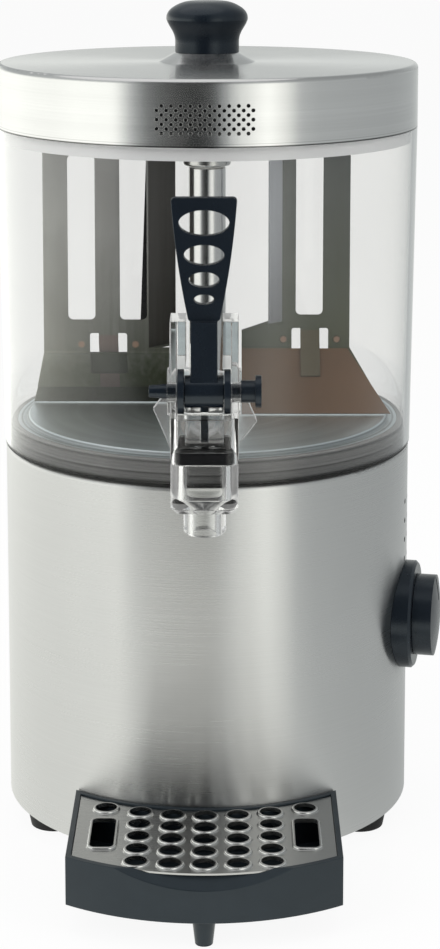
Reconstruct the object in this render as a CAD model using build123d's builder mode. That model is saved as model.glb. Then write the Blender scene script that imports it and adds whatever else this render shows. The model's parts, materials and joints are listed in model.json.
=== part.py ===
from build123d import *

import os
from math import cos, hypot, radians, sin, sqrt

# Hot chocolate dispenser: a clear stirring tank on a heated steel body, with a lever tap over a drip tray.
# Millimetres, +Z up, front towards -Y, control knob towards +X, origin on the body axis at the table.

os.makedirs("parts", exist_ok=True)

# Clearances between pieces
SEAT_GAP = 0.1
RUNNING_GAP = 0.05
SLIDING_GAP = 0.3
LOOSE_GAP = 0.6
WASH_GAP = 0.5

# Feet and body
BODY_D = 240.0
BODY_HEIGHT = 213.7
BODY_SHEET = 1.0
BODY_RIM_R = 3.0
BASE_PLATE_T = 1.5
FOOT_HEIGHT = 12.0
FOOT_TOP_D = 34.0
FOOT_TREAD_D = 29.0
FOOT_INSET = 30.0
FOOT_Y = 42.0
FOOT_SCREW_D = 5.0
FOOT_SCREW_HEAD_D = 9.0
FOOT_SCREW_HEAD_T = 3.0
FOOT_SCREW_L = 10.0

# Vent holes beside the control knob
VENT_D = 3.3
VENT_COLUMNS = 5
VENT_ROWS = 4
VENT_FIRST_ANGLE = -13.0
VENT_COLUMN_ANGLE = 6.0
VENT_TOP_H = 180.3
VENT_PITCH = 11.6

# Tank floor, seal and standpipe
FLOOR_RISE = 16.3
FLOOR_RIM = 7.0
FLOOR_STEP = 2.0
FLOOR_T = 1.5
RIM_LEDGE = 7.0
PAN_SKIRT = 20.0
SEAL_FLANGE_T = 1.2
SEAL_LIPS = 3
SEAL_LIP = 1.1
TUBE_D = 22.0
TUBE_WALL = 1.5
TUBE_H = 146.0

# Clear tank
TANK_OVERHANG = 0.7
TANK_FLARE = 2.9
TANK_HEIGHT = 186.4
TANK_WALL = 3.0

# Lid and its knob
LID_HEIGHT = 37.0
LID_SHEET = 1.0
LID_EDGE_R = 3.0
LID_CONE_D = 57.0
LID_CONE_TOP_D = 37.0
LID_CONE_H = 5.5
LID_RING_H = 7.5
LID_RING_T = 3.0
LID_KNOB_BASE_D = 37.5
LID_KNOB_D = 47.7
LID_KNOB_H = 30.0
LID_KNOB_NECK_H = 6.0
LID_KNOB_FLARE_H = 13.0
LID_SCREW_D = 6.0
LID_SCREW_HEAD_D = 14.0
LID_SCREW_HEAD_T = 3.0
LID_SCREW_BITE = 12.0
PERF_D = 2.0
PERF_ROWS = 7
PERF_LONG_ROW = 11
PERF_PITCH_X = 5.2
PERF_PITCH_Z = 2.5
PERF_Z_IN_LID = 15.2

# Stirrer
SHAFT_D = 8.0
ARM_T = 2.0
WING_T = 1.5
WING_SET = 8.0
BEND_H = 36.0
SLOT_LOW_H = 55.8
SLOT_TOP_LAND = 0.6
SLOT_CORNER_R = 3.0
PLOUGH_LOW_H = 12.0
PLOUGH_SET = 15.0
LEFT_GAP = 23.1
LEFT_FOOT_GAP = 14.0
LEFT_BAR = 14.6
LEFT_FOLD = 15.0
LEFT_FOLD_LAND = 1.1
LEFT_INNER = 19.4
RIGHT_GAP = 34.7
RIGHT_FOOT_GAP = 11.0
RIGHT_BAR = 16.2
RIGHT_FOLD = 8.0
RIGHT_FOLD_IN = 36.7
RIGHT_INNER = 20.5
RIGHT_WEB_LOW_H = 46.5
RIGHT_WEB_HIGH_H = 52.0
WINDOW_W = 22.0
WINDOW_LOW_H = 21.0
WINDOW_HIGH_H = 47.7
TONGUE_W = 11.5
LEFT_WINDOW_IN = 38.4
RIGHT_WINDOW_IN = 23.8
DIMPLE_D = 5.0
DIMPLE_H = 1.0
SCRAPER_T = 1.2
HUB_D = 28.0
HUB_H = 9.0
HUB_NUT_D = 15.0
HUB_NUT_H = 4.5
ARM_RIVET_D = 4.0
ARM_RIVET_HEAD_D = 7.0
ARM_RIVET_HEAD_T = 1.2
ARM_RIVET_FOLD_GAP = 7.3
ARM_RIVET_END_GAP = 9.3
BUSH_H = 10.0
BUSH_COLLAR_T = 1.0

# Heating under the tank floor
HEATER_INSET = 18.0
HEATER_BORE_D = 70.0
HEATER_T = 10.0
ELEMENT_D = 8.0
ELEMENT_INSET = 25.0
ELEMENT_GAP_ANGLE = 24.0
ELEMENT_TAIL = 26.0
ELEMENT_SLEEVE_D = 10.0
LIMITER_D = 24.0
LIMITER_T = 9.0
LIMITER_GAP = 1.5
LIMITER_ANGLE = 35.0
HEATER_STUDS = 3
HEATER_STUD_D = 5.0
HEATER_NUT_D = 10.0
HEATER_NUT_T = 4.0

# Geared motor on its bridge
BRIDGE_DROP = 46.0
BRIDGE_SHEET = 2.0
BRIDGE_W = 96.0
BRIDGE_DEPTH = 70.0
BRIDGE_FOOT = 18.0
GEARBOX_W = 74.0
GEARBOX_DEPTH = 58.0
GEARBOX_H = 34.0
MOTOR_D = 54.0
MOTOR_H = 72.0
MOTOR_SCREW_D = 5.0
MOTOR_SCREW_HEAD_D = 9.0
MOTOR_SCREW_HEAD_T = 3.0
MOTOR_SCREW_BITE = 8.0
COUPLER_D = 20.0
COUPLER_H = 20.0
COUPLER_LIFT = 2.0
OUTPUT_BITE = 12.0

# Temperature control on the right-hand side
KNOB_ANGLE = -11.5
KNOB_H = 111.0
BEZEL_D = 63.0
BEZEL_PROUD = 7.0
BEZEL_EDGE = 1.5
KNOB_D = 47.5
KNOB_L = 11.0
KNOB_DOME = 2.5
KNOB_MARK_W = 2.5
KNOB_MARK_DEPTH = 0.8
SPINDLE_D = 6.0
STAT_BUSH_D = 10.0
STAT_BOX = 38.0
STAT_DEPTH = 30.0
STAT_NUT_D = 17.0
STAT_NUT_T = 3.0

# Mains inlet at the rear, without its cord
GLAND_H = 36.0
GLAND_D = 16.0
GLAND_BORE_D = 8.5
GLAND_FLANGE_D = 24.0
GLAND_FLANGE_T = 6.0
GLAND_NUT_D = 24.0
GLAND_NUT_T = 5.0
GLAND_L = 24.0
TERMINAL_L = 44.0
TERMINAL_W = 20.0
TERMINAL_H = 18.0
TERMINAL_SIDE_IN = 58.0
TERMINAL_REAR_IN = 62.0

# Tap
TAP_REACH = 28.7
BARREL_W = 36.0
BARREL_WALL = 2.0
BARREL_CORNER_R = 7.0
BARREL_RISE = 9.5
BARREL_DROP = 45.0
NOZZLE_D = 22.7
NOZZLE_BORE_D = 13.0
NOZZLE_L = 14.4
FUNNEL_H = 7.0
SEAT_DROP = 18.5
SEAT_BORE_W = 26.0
TAIL_H = 41.0
TAIL_D = 18.0
TAIL_BORE_D = 11.0
FLANGE_AC = 57.0
FLANGE_T = 5.0
TAP_GASKET_D = 32.0
TAP_GASKET_T = 2.0
FLANGE_TURN = -7.0
BARREL_CHAMFER = 3.0
TAP_NUT_AC = 33.0
TAP_NUT_T = 4.5
PIVOT_RISE = 22.8
PIVOT_PIN_D = 8.0
PIVOT_TIP_D = 6.4
PIVOT_TIP_REACH = 29.0
PIVOT_HEAD_D = 11.7
PIVOT_HEAD_L = 7.5
PIVOT_RIM_D = 16.8
PIVOT_RIM_T = 3.2
CHEEK_OUT = 18.0
CHEEK_IN = 14.4
CHEEK_RISE = 60.0
CHEEK_PAD_IN = 9.6
CHEEK_PAD_H = 24.0
BOSS_D = 25.0
BOSS_OUT = 19.2
WASHER_D = 23.5
WASHER_T = 3.4
CHEEK_REAR = 12.0

# Lever and piston
HUB_LEVER_D = 17.0
HUB_LEVER_W = 20.5
NOSE_R = 20.5
NOSE_ANGLE = 17.5
NOSE_PIN_D = 4.0
EAR_T = 3.0
EAR_SET = 7.0
EAR_W = 8.0
SHANK_W = 14.0
SHANK_L = 37.8
SHANK_T = 12.0
HANDLE_L = 65.0
HANDLE_LOW_W = 16.3
HANDLE_MID_W = 27.8
HANDLE_TOP_W = 34.6
HANDLE_T = 6.0
HANDLE_LEDGE = 3.0
HANDLE_CORNER_R = 2.0
OVAL_ASPECT = 1.95
OVAL_TOP_W = 26.4
OVAL_UPPER_W = 21.0
OVAL_LOWER_W = 15.9
OVAL_LOW_W = 10.5
OVAL_TOP_H = 51.7
OVAL_UPPER_H = 34.9
OVAL_LOWER_H = 21.9
OVAL_LOW_H = 11.5
PISTON_W = 20.8
PISTON_CORNER_R = 3.0
PISTON_L = 19.7
SEAL_PLAY = 0.4
PISTON_SEAL_T = 6.8
PISTON_PLATE_T = 2.4
PISTON_STUB_D = 14.0
STEM_T = 4.2
STEM_W = 10.0
STEM_BITE = 16.0
GUIDE_RING_T = 3.0
GUIDE_RING_LAND = 0.5

# Drip tray and its grid
TRAY_HALF_W = 74.0
TRAY_SIDE_REACH = 67.0
TRAY_FRONT_REACH = 89.5
TRAY_LIFT = 15.0
TRAY_H = 27.0
TRAY_WALL = 3.0
TRAY_FLOOR_T = 2.5
TRAY_BODY_GAP = 1.0
TRAY_FRONT_WALL = 3.5
TRAY_LEDGE_W = 2.5
TRAY_LEDGE_DROP = 2.0
SCOOP_HALF_W = 47.5
SCOOP_DEPTH = 9.0
TRAY_FOOT_W = 13.0
TRAY_FOOT_TIP_W = 9.5
TRAY_FOOT_REACH = 80.0
PEG_D = 6.0
PEG_X = 40.0
PEG_H = 18.0
PEG_REACH = 8.0
PEG_HEAD_D = 12.0
PEG_HEAD_T = 2.0
GRID_T = 1.0
GRID_HOLE_D = 12.0
GRID_LIP_W = 1.9
GRID_LIP_H = 1.3
GRID_LIP_TAPER = 45.0
GRID_COLUMN = 18.1
GRID_FIRST_REACH = 12.4
GRID_ROW = 15.8
GRID_ROWS = 5
GRID_SIDE_X = 55.5
GRID_SLOT_W = 13.0
GRID_SLOT_L = 38.0
GRID_SLOT_REACH = 36.0
GRID_SIDE_HOLE_REACH = 1.5

# Levels and radii that follow from the sizes above
body_r = BODY_D / 2
body_low = FOOT_HEIGHT
body_top = body_low + BODY_HEIGHT
plate_top = body_low + BASE_PLATE_T
floor_top = body_top + FLOOR_RISE
floor_low = floor_top - FLOOR_T
pan_r = body_r - RIM_LEDGE
flat_r = pan_r - FLOOR_RIM
collar_r = pan_r + SEAT_GAP
tank_low = body_top + SEAL_FLANGE_T + SEAT_GAP
tank_top = tank_low + TANK_HEIGHT
tank_low_r = body_r + TANK_OVERHANG
tank_slope = TANK_FLARE / TANK_HEIGHT
lid_r = tank_low_r + TANK_FLARE
lid_low = tank_top + SEAT_GAP
lid_top = lid_low + LID_HEIGHT
lid_cone_top = lid_top + LID_CONE_H
knob_z = body_low + KNOB_H
tube_top = floor_top + TUBE_H
arm_z = tube_top + BUSH_COLLAR_T + SEAT_GAP + HUB_H
bend_z = floor_top + BEND_H
tail_z = tank_low + TAIL_H
tray_top = TRAY_LIFT + TRAY_H
peg_z = TRAY_LIFT + PEG_H


def tank_outer(height):
    """Outer radius of the drafted tank wall at a height."""
    return tank_low_r + (height - tank_low) * tank_slope


def save(builder, name):
    """Label a finished piece and write it as its own STEP file."""
    builder.part.label = name
    export_step(builder.part, f"parts/{name}.step")


def ring(inner, outer, low, high, mode=Mode.ADD):
    """Plain ring about the Z axis between two heights."""
    with BuildSketch(Plane.XY.offset(low)) as section:
        Circle(outer)
        if inner > 0:
            Circle(inner, mode=Mode.SUBTRACT)
    extrude(section.sketch, amount=high - low, mode=mode)


def turned(*points, mode=Mode.ADD):
    """Solid of revolution about Z from straight runs given as radius and height."""
    with BuildSketch(Plane.XZ) as section:
        with BuildLine():
            Polyline(*points, close=True)
        make_face()
    revolve(section.sketch, axis=Axis.Z, mode=mode)


def side_plane(angle, height, reach):
    """Plane standing on a cylinder about Z, facing outwards, with its own Y upwards."""
    turn = radians(angle)
    outward = Vector(cos(turn), sin(turn), 0)
    across = Vector(-sin(turn), cos(turn), 0)
    return Plane(origin=outward * reach + Vector(0, 0, height), x_dir=across, z_dir=outward)


def front_plane(y):
    """Upright plane across the object at a depth, facing the front."""
    return Plane.XZ.offset(-y)


def disc_on(plane, outer, low, high, inner=0.0, mode=Mode.ADD):
    """Ring on a plane, between two distances along its normal."""
    with BuildSketch(plane.offset(low)) as section:
        Circle(outer / 2)
        if inner > 0:
            Circle(inner / 2, mode=Mode.SUBTRACT)
    extrude(section.sketch, amount=high - low, mode=mode)


def block_on(plane, width, corner, low, high, mode=Mode.ADD):
    """Square block with rounded corners on a plane, between two distances along its normal."""
    with BuildSketch(plane.offset(low)) as section:
        RectangleRounded(width, width, corner)
    extrude(section.sketch, amount=high - low, mode=mode)


# Body shell: rolled sheet with a rounded top rim turned in to carry the tank floor
vent_angles = [VENT_FIRST_ANGLE + VENT_COLUMN_ANGLE * column for column in range(VENT_COLUMNS)]
vent_heights = [body_low + VENT_TOP_H - VENT_PITCH * row for row in range(VENT_ROWS)]
knob_plane = side_plane(KNOB_ANGLE, knob_z, body_r)
gland_plane = side_plane(90, body_low + GLAND_H, body_r)
peg_depth = sqrt(body_r**2 - PEG_X**2)
cut_depth = body_r / 4

with BuildPart() as body_shell:
    with BuildSketch(Plane.XZ):
        with BuildLine():
            Line((body_r, body_low), (body_r, body_top - BODY_RIM_R))
            CenterArc((body_r - BODY_RIM_R, body_top - BODY_RIM_R), BODY_RIM_R, 0, 90)
            Polyline(
                (body_r - BODY_RIM_R, body_top),
                (collar_r, body_top),
                (collar_r, body_top - BODY_SHEET),
                (body_r - BODY_RIM_R, body_top - BODY_SHEET),
            )
            CenterArc((body_r - BODY_RIM_R, body_top - BODY_RIM_R), BODY_RIM_R - BODY_SHEET, 0, 90)
            Polyline(
                (body_r - BODY_SHEET, body_top - BODY_RIM_R),
                (body_r - BODY_SHEET, body_low),
                (body_r, body_low),
            )
        make_face()
    revolve(axis=Axis.Z)
    for angle in vent_angles:
        for height in vent_heights:
            with BuildSketch(side_plane(angle, height, body_r)):
                Circle(VENT_D / 2)
    extrude(amount=cut_depth, both=True, mode=Mode.SUBTRACT)
    disc_on(knob_plane, STAT_BUSH_D + LOOSE_GAP, -cut_depth, cut_depth, mode=Mode.SUBTRACT)
    disc_on(gland_plane, GLAND_D + LOOSE_GAP, -cut_depth, cut_depth, mode=Mode.SUBTRACT)
    with BuildSketch(front_plane(-peg_depth)):
        with Locations((PEG_X, peg_z), (-PEG_X, peg_z)):
            Circle(PEG_D / 2 + SEAT_GAP)
    extrude(amount=cut_depth, both=True, mode=Mode.SUBTRACT)
save(body_shell, "body_shell")

# Base plate closing the body from below
foot_reach = body_r - FOOT_INSET
foot_spots = [(foot_reach, FOOT_Y), (-foot_reach, FOOT_Y), (-foot_reach, -FOOT_Y), (foot_reach, -FOOT_Y)]
with BuildPart() as base_plate:
    ring(0, body_r - BODY_SHEET - SEAT_GAP, body_low, plate_top)
    with Locations(*[(x, y, plate_top) for x, y in foot_spots]):
        Hole(FOOT_SCREW_D / 2 + SEAT_GAP)
save(base_plate, "base_plate")

# Rubber feet, tapered to the tread, each with a recess for its screw head
foot_names = ["foot_rear_right", "foot_rear_left", "foot_front_left", "foot_front_right"]
for foot_name, (foot_x, foot_y) in zip(foot_names, foot_spots):
    foot_plane = Plane(origin=(foot_x, foot_y, 0))
    with BuildPart() as foot:
        with BuildSketch(foot_plane):
            Circle(FOOT_TREAD_D / 2)
        with BuildSketch(foot_plane.offset(FOOT_HEIGHT)):
            Circle(FOOT_TOP_D / 2)
        loft()
        recess = FOOT_HEIGHT - FOOT_SCREW_HEAD_T
        disc_on(foot_plane, FOOT_SCREW_D + 2 * SEAT_GAP, 0, FOOT_HEIGHT, mode=Mode.SUBTRACT)
        disc_on(foot_plane, FOOT_SCREW_HEAD_D + 2 * SEAT_GAP, 0, recess, mode=Mode.SUBTRACT)
    save(foot, foot_name)

# Pan-head screws up through the feet into the base plate
with BuildPart() as foot_screws:
    for foot_x, foot_y in foot_spots:
        foot_plane = Plane(origin=(foot_x, foot_y, 0))
        head_top = FOOT_HEIGHT - FOOT_SCREW_HEAD_T
        disc_on(foot_plane, FOOT_SCREW_HEAD_D, head_top - FOOT_SCREW_HEAD_T, head_top)
        disc_on(foot_plane, FOOT_SCREW_D, head_top, head_top + FOOT_SCREW_L)
save(foot_screws, "foot_screws")

# Tank floor: a raised steel pan with a stepped rim and a skirt welded into the body collar
rim_z = floor_top - FLOOR_STEP
skirt_low = floor_top - PAN_SKIRT
tube_r = TUBE_D / 2
with BuildPart() as tank_floor:
    turned(
        (tube_r + SEAT_GAP, floor_low),
        (tube_r + SEAT_GAP, floor_top),
        (flat_r, floor_top),
        (flat_r + FLOOR_STEP, rim_z),
        (pan_r, rim_z),
        (pan_r, skirt_low),
        (pan_r - FLOOR_T, skirt_low),
        (pan_r - FLOOR_T, rim_z - FLOOR_T),
        (flat_r + FLOOR_STEP - FLOOR_T, rim_z - FLOOR_T),
        (flat_r - FLOOR_T / 2, floor_low),
    )
save(tank_floor, "tank_floor")

# Tank seal: a flange under the tank wall and an upright band with rounded lips
seal_low = body_top
seal_in = pan_r + SEAT_GAP
seal_out = tank_low_r - TANK_WALL - SLIDING_GAP
seal_band_r = seal_out - SEAL_LIP
seal_top = rim_z
lip_pitch = (seal_top - seal_low - SEAL_FLANGE_T) / SEAL_LIPS
with BuildPart() as tank_seal:
    ring(seal_in, tank_low_r - SEAT_GAP, seal_low, seal_low + SEAL_FLANGE_T)
    ring(seal_in, seal_band_r, seal_low + SEAL_FLANGE_T, seal_top)
    for lip in range(SEAL_LIPS):
        lip_low = seal_low + SEAL_FLANGE_T + lip_pitch * lip
        turned(
            (seal_in, lip_low),
            (seal_band_r, lip_low),
            (seal_out, lip_low + lip_pitch * 0.3),
            (seal_out, lip_low + lip_pitch * 0.6),
            (seal_band_r, lip_low + lip_pitch * 0.75),
            (seal_in, lip_low + lip_pitch * 0.75),
        )
save(tank_seal, "tank_seal")

# Standpipe that keeps the drive shaft clear of the drink
tube_low = floor_low - FLOOR_STEP
with BuildPart() as central_tube:
    ring(tube_r - TUBE_WALL, tube_r, tube_low, tube_top)
    ring(tube_r - TUBE_WALL, tube_r + FLOOR_T * 2, tube_low, floor_low)
    top_edge = central_tube.edges().group_by(Axis.Z)[-1].sort_by(SortBy.RADIUS)[-1]
    fillet(top_edge, TUBE_WALL / 3)
save(central_tube, "central_tube")

# Bushes that carry the drive shaft in the standpipe
shaft_r = SHAFT_D / 2
bush_r = tube_r - TUBE_WALL - SEAT_GAP
with BuildPart() as top_bush:
    ring(shaft_r + RUNNING_GAP, bush_r, tube_top - BUSH_H, tube_top)
    ring(shaft_r + RUNNING_GAP, tube_r - TUBE_WALL / 2, tube_top, tube_top + BUSH_COLLAR_T)
save(top_bush, "top_bush")

with BuildPart() as lower_bush:
    ring(shaft_r + RUNNING_GAP, bush_r, tube_low, tube_low + BUSH_H)
    ring(shaft_r + RUNNING_GAP, tube_r, tube_low - BUSH_COLLAR_T, tube_low)
save(lower_bush, "lower_bush")

# Stirrer: drive shaft, hub, cross arm and two hanging wings with floor scrapers
bridge_top = floor_top - BRIDGE_DROP
gearbox_top = bridge_top - BRIDGE_SHEET
coupler_low = bridge_top + COUPLER_LIFT
coupler_mid = coupler_low + COUPLER_H / 2
arm_top = arm_z + ARM_T
with BuildPart() as drive_shaft:
    ring(0, shaft_r, coupler_mid + SEAT_GAP, arm_top + HUB_NUT_H)
    chamfer(drive_shaft.edges().group_by(Axis.Z)[-1], SHAFT_D / 10)
save(drive_shaft, "drive_shaft")

with BuildPart() as output_shaft:
    ring(0, shaft_r, gearbox_top - OUTPUT_BITE, coupler_mid - SEAT_GAP)
save(output_shaft, "output_shaft")

with BuildPart() as shaft_coupler:
    ring(shaft_r + SEAT_GAP, COUPLER_D / 2, coupler_low, coupler_low + COUPLER_H)
    chamfer(shaft_coupler.edges().filter_by(GeomType.CIRCLE).sort_by(SortBy.RADIUS)[-2:], SHAFT_D / 10)
save(shaft_coupler, "shaft_coupler")

with BuildPart() as stirrer_hub:
    ring(shaft_r + SEAT_GAP, HUB_D / 2, arm_z - HUB_H, arm_z)
    lower_rim = stirrer_hub.edges().group_by(Axis.Z)[0].sort_by(SortBy.RADIUS)[-1]
    fillet(lower_rim, HUB_H / 6)
save(stirrer_hub, "stirrer_hub")

with BuildPart() as hub_nut:
    with BuildSketch(Plane.XY.offset(arm_top)):
        RegularPolygon(HUB_NUT_D / 2, 6)
        Circle(shaft_r + SEAT_GAP, mode=Mode.SUBTRACT)
    extrude(amount=HUB_NUT_H)
save(hub_nut, "hub_nut")

left_outer = body_r - LEFT_GAP
left_foot = body_r - LEFT_FOOT_GAP
right_outer = body_r - RIGHT_GAP
right_foot = body_r - RIGHT_FOOT_GAP
rivet_near = RIGHT_FOLD_IN + RIGHT_FOLD + ARM_RIVET_FOLD_GAP
rivet_far = right_outer - ARM_RIVET_END_GAP
rivet_spots = [(side * x, 0) for side in (-1, 1) for x in (rivet_near, rivet_far)]
with BuildPart() as stirrer_arm:
    with BuildSketch(Plane.XY.offset(arm_z)):
        with Locations(((right_outer - left_outer) / 2, 0)):
            RectangleRounded(left_outer + right_outer, 2 * WING_SET + WING_T, WING_T)
        Circle(shaft_r + SEAT_GAP, mode=Mode.SUBTRACT)
        with Locations(*rivet_spots):
            Circle(ARM_RIVET_D / 2 + SEAT_GAP, mode=Mode.SUBTRACT)
    extrude(amount=ARM_T)
save(stirrer_arm, "stirrer_arm")

# The wing sheet hangs from the arm, bends at the shoulder and leans under the arm to plough the floor
lean_run = WING_SET + PLOUGH_SET
lean_drop = BEND_H - WASH_GAP
lean_length = hypot(lean_run, lean_drop)
lean_y = -lean_run / lean_length
lean_z = -lean_drop / lean_length
scraper_off = WING_T / 2 + SEAT_GAP + SCRAPER_T / 2
tongue_off = WING_T + SCRAPER_T + 2 * SEAT_GAP
flange_mid = arm_z - WING_T / 2
plough_low = floor_top + PLOUGH_LOW_H
window_low = floor_top + WINDOW_LOW_H
window_high = floor_top + WINDOW_HIGH_H
slot_low = floor_top + SLOT_LOW_H
slot_high = arm_z - WING_T - SLOT_TOP_LAND
wing_depth = 4 * lean_run
right_frame = Plane.XY
left_frame = Plane.XY.rotated((0, 0, 180))


def lean_point(along, off):
    """Point beside the leaning part of the sheet, from the shoulder down and off its upper face."""
    return (WING_SET + lean_y * along + lean_z * off, bend_z + lean_z * along - lean_y * off)


def along_to(height, off):
    """Distance down the lean at which a line beside the sheet reaches a height."""
    return (bend_z - lean_y * off - height) / -lean_z


def section_plane(frame):
    """Upright plane across a wing, with its X along the stirrer's direction of travel."""
    return Plane(origin=(0, 0, 0), x_dir=frame.y_dir, z_dir=frame.x_dir)


def face_plane(frame):
    """Upright plane along a wing, with its X outwards from the shaft."""
    return Plane(origin=(0, 0, 0), x_dir=frame.x_dir, z_dir=frame.y_dir * -1)


def bent_sheet(frame, path, thickness, start, end):
    """Bent sheet with a given side view, between two distances from the shaft."""
    with BuildSketch(section_plane(frame).offset(start)) as section:
        with BuildLine():
            Polyline(*path)
        trace(line_width=thickness)
    extrude(section.sketch, amount=end - start)


def cut_outline(frame, outline, openings):
    """Trim a bent sheet to a front view; openings are a centre, a size and a corner radius."""
    with BuildSketch(face_plane(frame)) as outline_face:
        with BuildLine():
            Polyline(*outline, close=True)
        make_face()
        for centre, size, corner in openings:
            with Locations(centre):
                RectangleRounded(*size, corner, mode=Mode.SUBTRACT)
    extrude(outline_face.sketch, amount=wing_depth, both=True, mode=Mode.INTERSECT)


def wing(frame, outer, foot, inner, fold_in, fold, web, slots, window_x):
    """Wing sheet with its slots, window, folded inner edge, tongue, dimples and rivet holes."""
    fold_x = fold_in + fold
    flare = (foot - outer) / BEND_H
    path = [
        (-WING_SET, flange_mid),
        (WING_SET, flange_mid),
        (WING_SET, bend_z),
        lean_point(along_to(plough_low, 0), 0),
    ]
    bent_sheet(frame, path, WING_T, inner, foot)
    outline = [
        (inner, plough_low - WING_T),
        (outer + flare * (bend_z - plough_low), plough_low - WING_T),
        (outer, bend_z),
        (outer, arm_z),
        (fold_x, arm_z),
        (fold_x, web[1]),
        (fold_in, web[1]),
        (inner, web[0]),
    ]
    slot_mid = (slot_low + slot_high) / 2
    openings = []
    for near, far in slots:
        slot_corner = min(SLOT_CORNER_R, (far - near) / 3)
        openings.append((((near + far) / 2, slot_mid), (far - near, slot_high - slot_low), slot_corner))
    window_mid = (window_x, (window_low + window_high) / 2)
    openings.append((window_mid, (WINDOW_W, window_high - window_low), SLOT_CORNER_R / 2))
    cut_outline(frame, outline, openings)
    with BuildSketch(Plane(origin=(0, 0, web[1] - WING_T), x_dir=frame.x_dir)) as folded:
        with BuildLine():
            Line((fold_x + WING_T / 2, WING_SET), (fold_in, WING_SET - fold - WING_T / 2))
        trace(line_width=WING_T)
    extrude(folded.sketch, amount=arm_z - web[1] + WING_T / 2)
    tongue = [
        (WING_SET, window_high + WING_T),
        (WING_SET, bend_z + 4 * WING_T),
        lean_point(WING_T, tongue_off),
        lean_point(along_to(window_low, tongue_off), tongue_off),
    ]
    bent_sheet(frame, tongue, WING_T, window_x - TONGUE_W / 2, window_x + TONGUE_W / 2)
    dimple_pitch = WINDOW_W + 2 * DIMPLE_D
    with BuildSketch(face_plane(frame).offset(-WING_SET)) as dimples:
        with Locations((window_x, bend_z + DIMPLE_D)):
            with GridLocations(dimple_pitch, dimple_pitch, 2, 1):
                Circle(DIMPLE_D / 2)
    extrude(dimples.sketch, amount=WING_T / 2 + DIMPLE_H, taper=20)
    with BuildSketch(Plane.XY.offset(arm_z)) as rivet_holes:
        with Locations(*rivet_spots):
            Circle(ARM_RIVET_D / 2 + SEAT_GAP)
    extrude(rivet_holes.sketch, amount=-2 * WING_T, mode=Mode.SUBTRACT)


def scraper(frame, outer, foot, inner):
    """Loose blade held between the wing and its tongue, just clear of the tank floor."""
    blade_low = floor_top + WASH_GAP - lean_y * SCRAPER_T / 2
    path = [lean_point(WING_T, scraper_off), lean_point(along_to(blade_low, scraper_off), scraper_off)]
    bent_sheet(frame, path, SCRAPER_T, inner, foot)
    outline = [
        (inner, floor_top),
        (foot, floor_top),
        (outer, bend_z),
        (outer, bend_z + WING_SET),
        (inner, bend_z + WING_SET),
    ]
    cut_outline(frame, outline, [])


left_slot_in = LEFT_INNER + LEFT_FOLD + LEFT_FOLD_LAND
left_slot = (left_outer - left_slot_in) / 2 - LEFT_BAR
left_slots = [
    (left_slot_in + left_slot + LEFT_BAR, left_outer - LEFT_BAR),
    (left_slot_in, left_slot_in + left_slot),
]
right_slots = [(RIGHT_FOLD_IN + RIGHT_BAR, right_outer - RIGHT_BAR)]
left_web = (bend_z, bend_z + 2 * WING_T)
right_web = (floor_top + RIGHT_WEB_LOW_H, floor_top + RIGHT_WEB_HIGH_H)
with BuildPart() as left_wing:
    wing(left_frame, left_outer, left_foot, LEFT_INNER, LEFT_INNER, LEFT_FOLD, left_web,
         left_slots, left_outer - LEFT_WINDOW_IN)
save(left_wing, "left_wing")

with BuildPart() as right_wing:
    wing(right_frame, right_outer, right_foot, RIGHT_INNER, RIGHT_FOLD_IN, RIGHT_FOLD, right_web,
         right_slots, right_outer - RIGHT_WINDOW_IN)
save(right_wing, "right_wing")

with BuildPart() as left_scraper:
    scraper(left_frame, left_outer - WING_T, left_foot, LEFT_INNER)
save(left_scraper, "left_scraper")

with BuildPart() as right_scraper:
    scraper(right_frame, right_outer - WING_T, right_foot, RIGHT_INNER)
save(right_scraper, "right_scraper")

with BuildPart() as stirrer_rivets:
    for rivet_x, rivet_y in rivet_spots:
        rivet_plane = Plane(origin=(rivet_x, rivet_y, arm_z - WING_T))
        stack = WING_T + ARM_T
        disc_on(rivet_plane, ARM_RIVET_HEAD_D, -ARM_RIVET_HEAD_T, 0)
        disc_on(rivet_plane, ARM_RIVET_D, 0, stack)
        disc_on(rivet_plane, ARM_RIVET_HEAD_D, stack, stack + ARM_RIVET_HEAD_T)
save(stirrer_rivets, "stirrer_rivets")

# Heating: an aluminium plate against the tank floor with a tubular element and an over-temperature cut-out
heater_low = floor_low - HEATER_T
heater_r = pan_r - HEATER_INSET
element_ring_r = heater_r - ELEMENT_INSET
stud_reach = (heater_r + element_ring_r + ELEMENT_D / 2) / 2
with BuildPart() as heater_plate:
    ring(HEATER_BORE_D / 2, heater_r, heater_low, floor_low)
    with BuildSketch(Plane.XY.offset(heater_low)):
        with PolarLocations(stud_reach, HEATER_STUDS, start_angle=90):
            Circle(HEATER_STUD_D / 2 + SEAT_GAP)
    extrude(amount=HEATER_T, mode=Mode.SUBTRACT)
save(heater_plate, "heater_plate")

with BuildPart() as heater_nuts:
    with BuildSketch(Plane.XY.offset(heater_low - HEATER_NUT_T)):
        with PolarLocations(stud_reach, HEATER_STUDS, start_angle=90):
            RegularPolygon(HEATER_NUT_D / 2, 6)
    extrude(amount=HEATER_NUT_T)
    with BuildSketch(Plane.XY.offset(heater_low)):
        with PolarLocations(stud_reach, HEATER_STUDS, start_angle=90):
            Circle(HEATER_STUD_D / 2)
    extrude(amount=HEATER_T)
save(heater_nuts, "heater_nuts")

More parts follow.
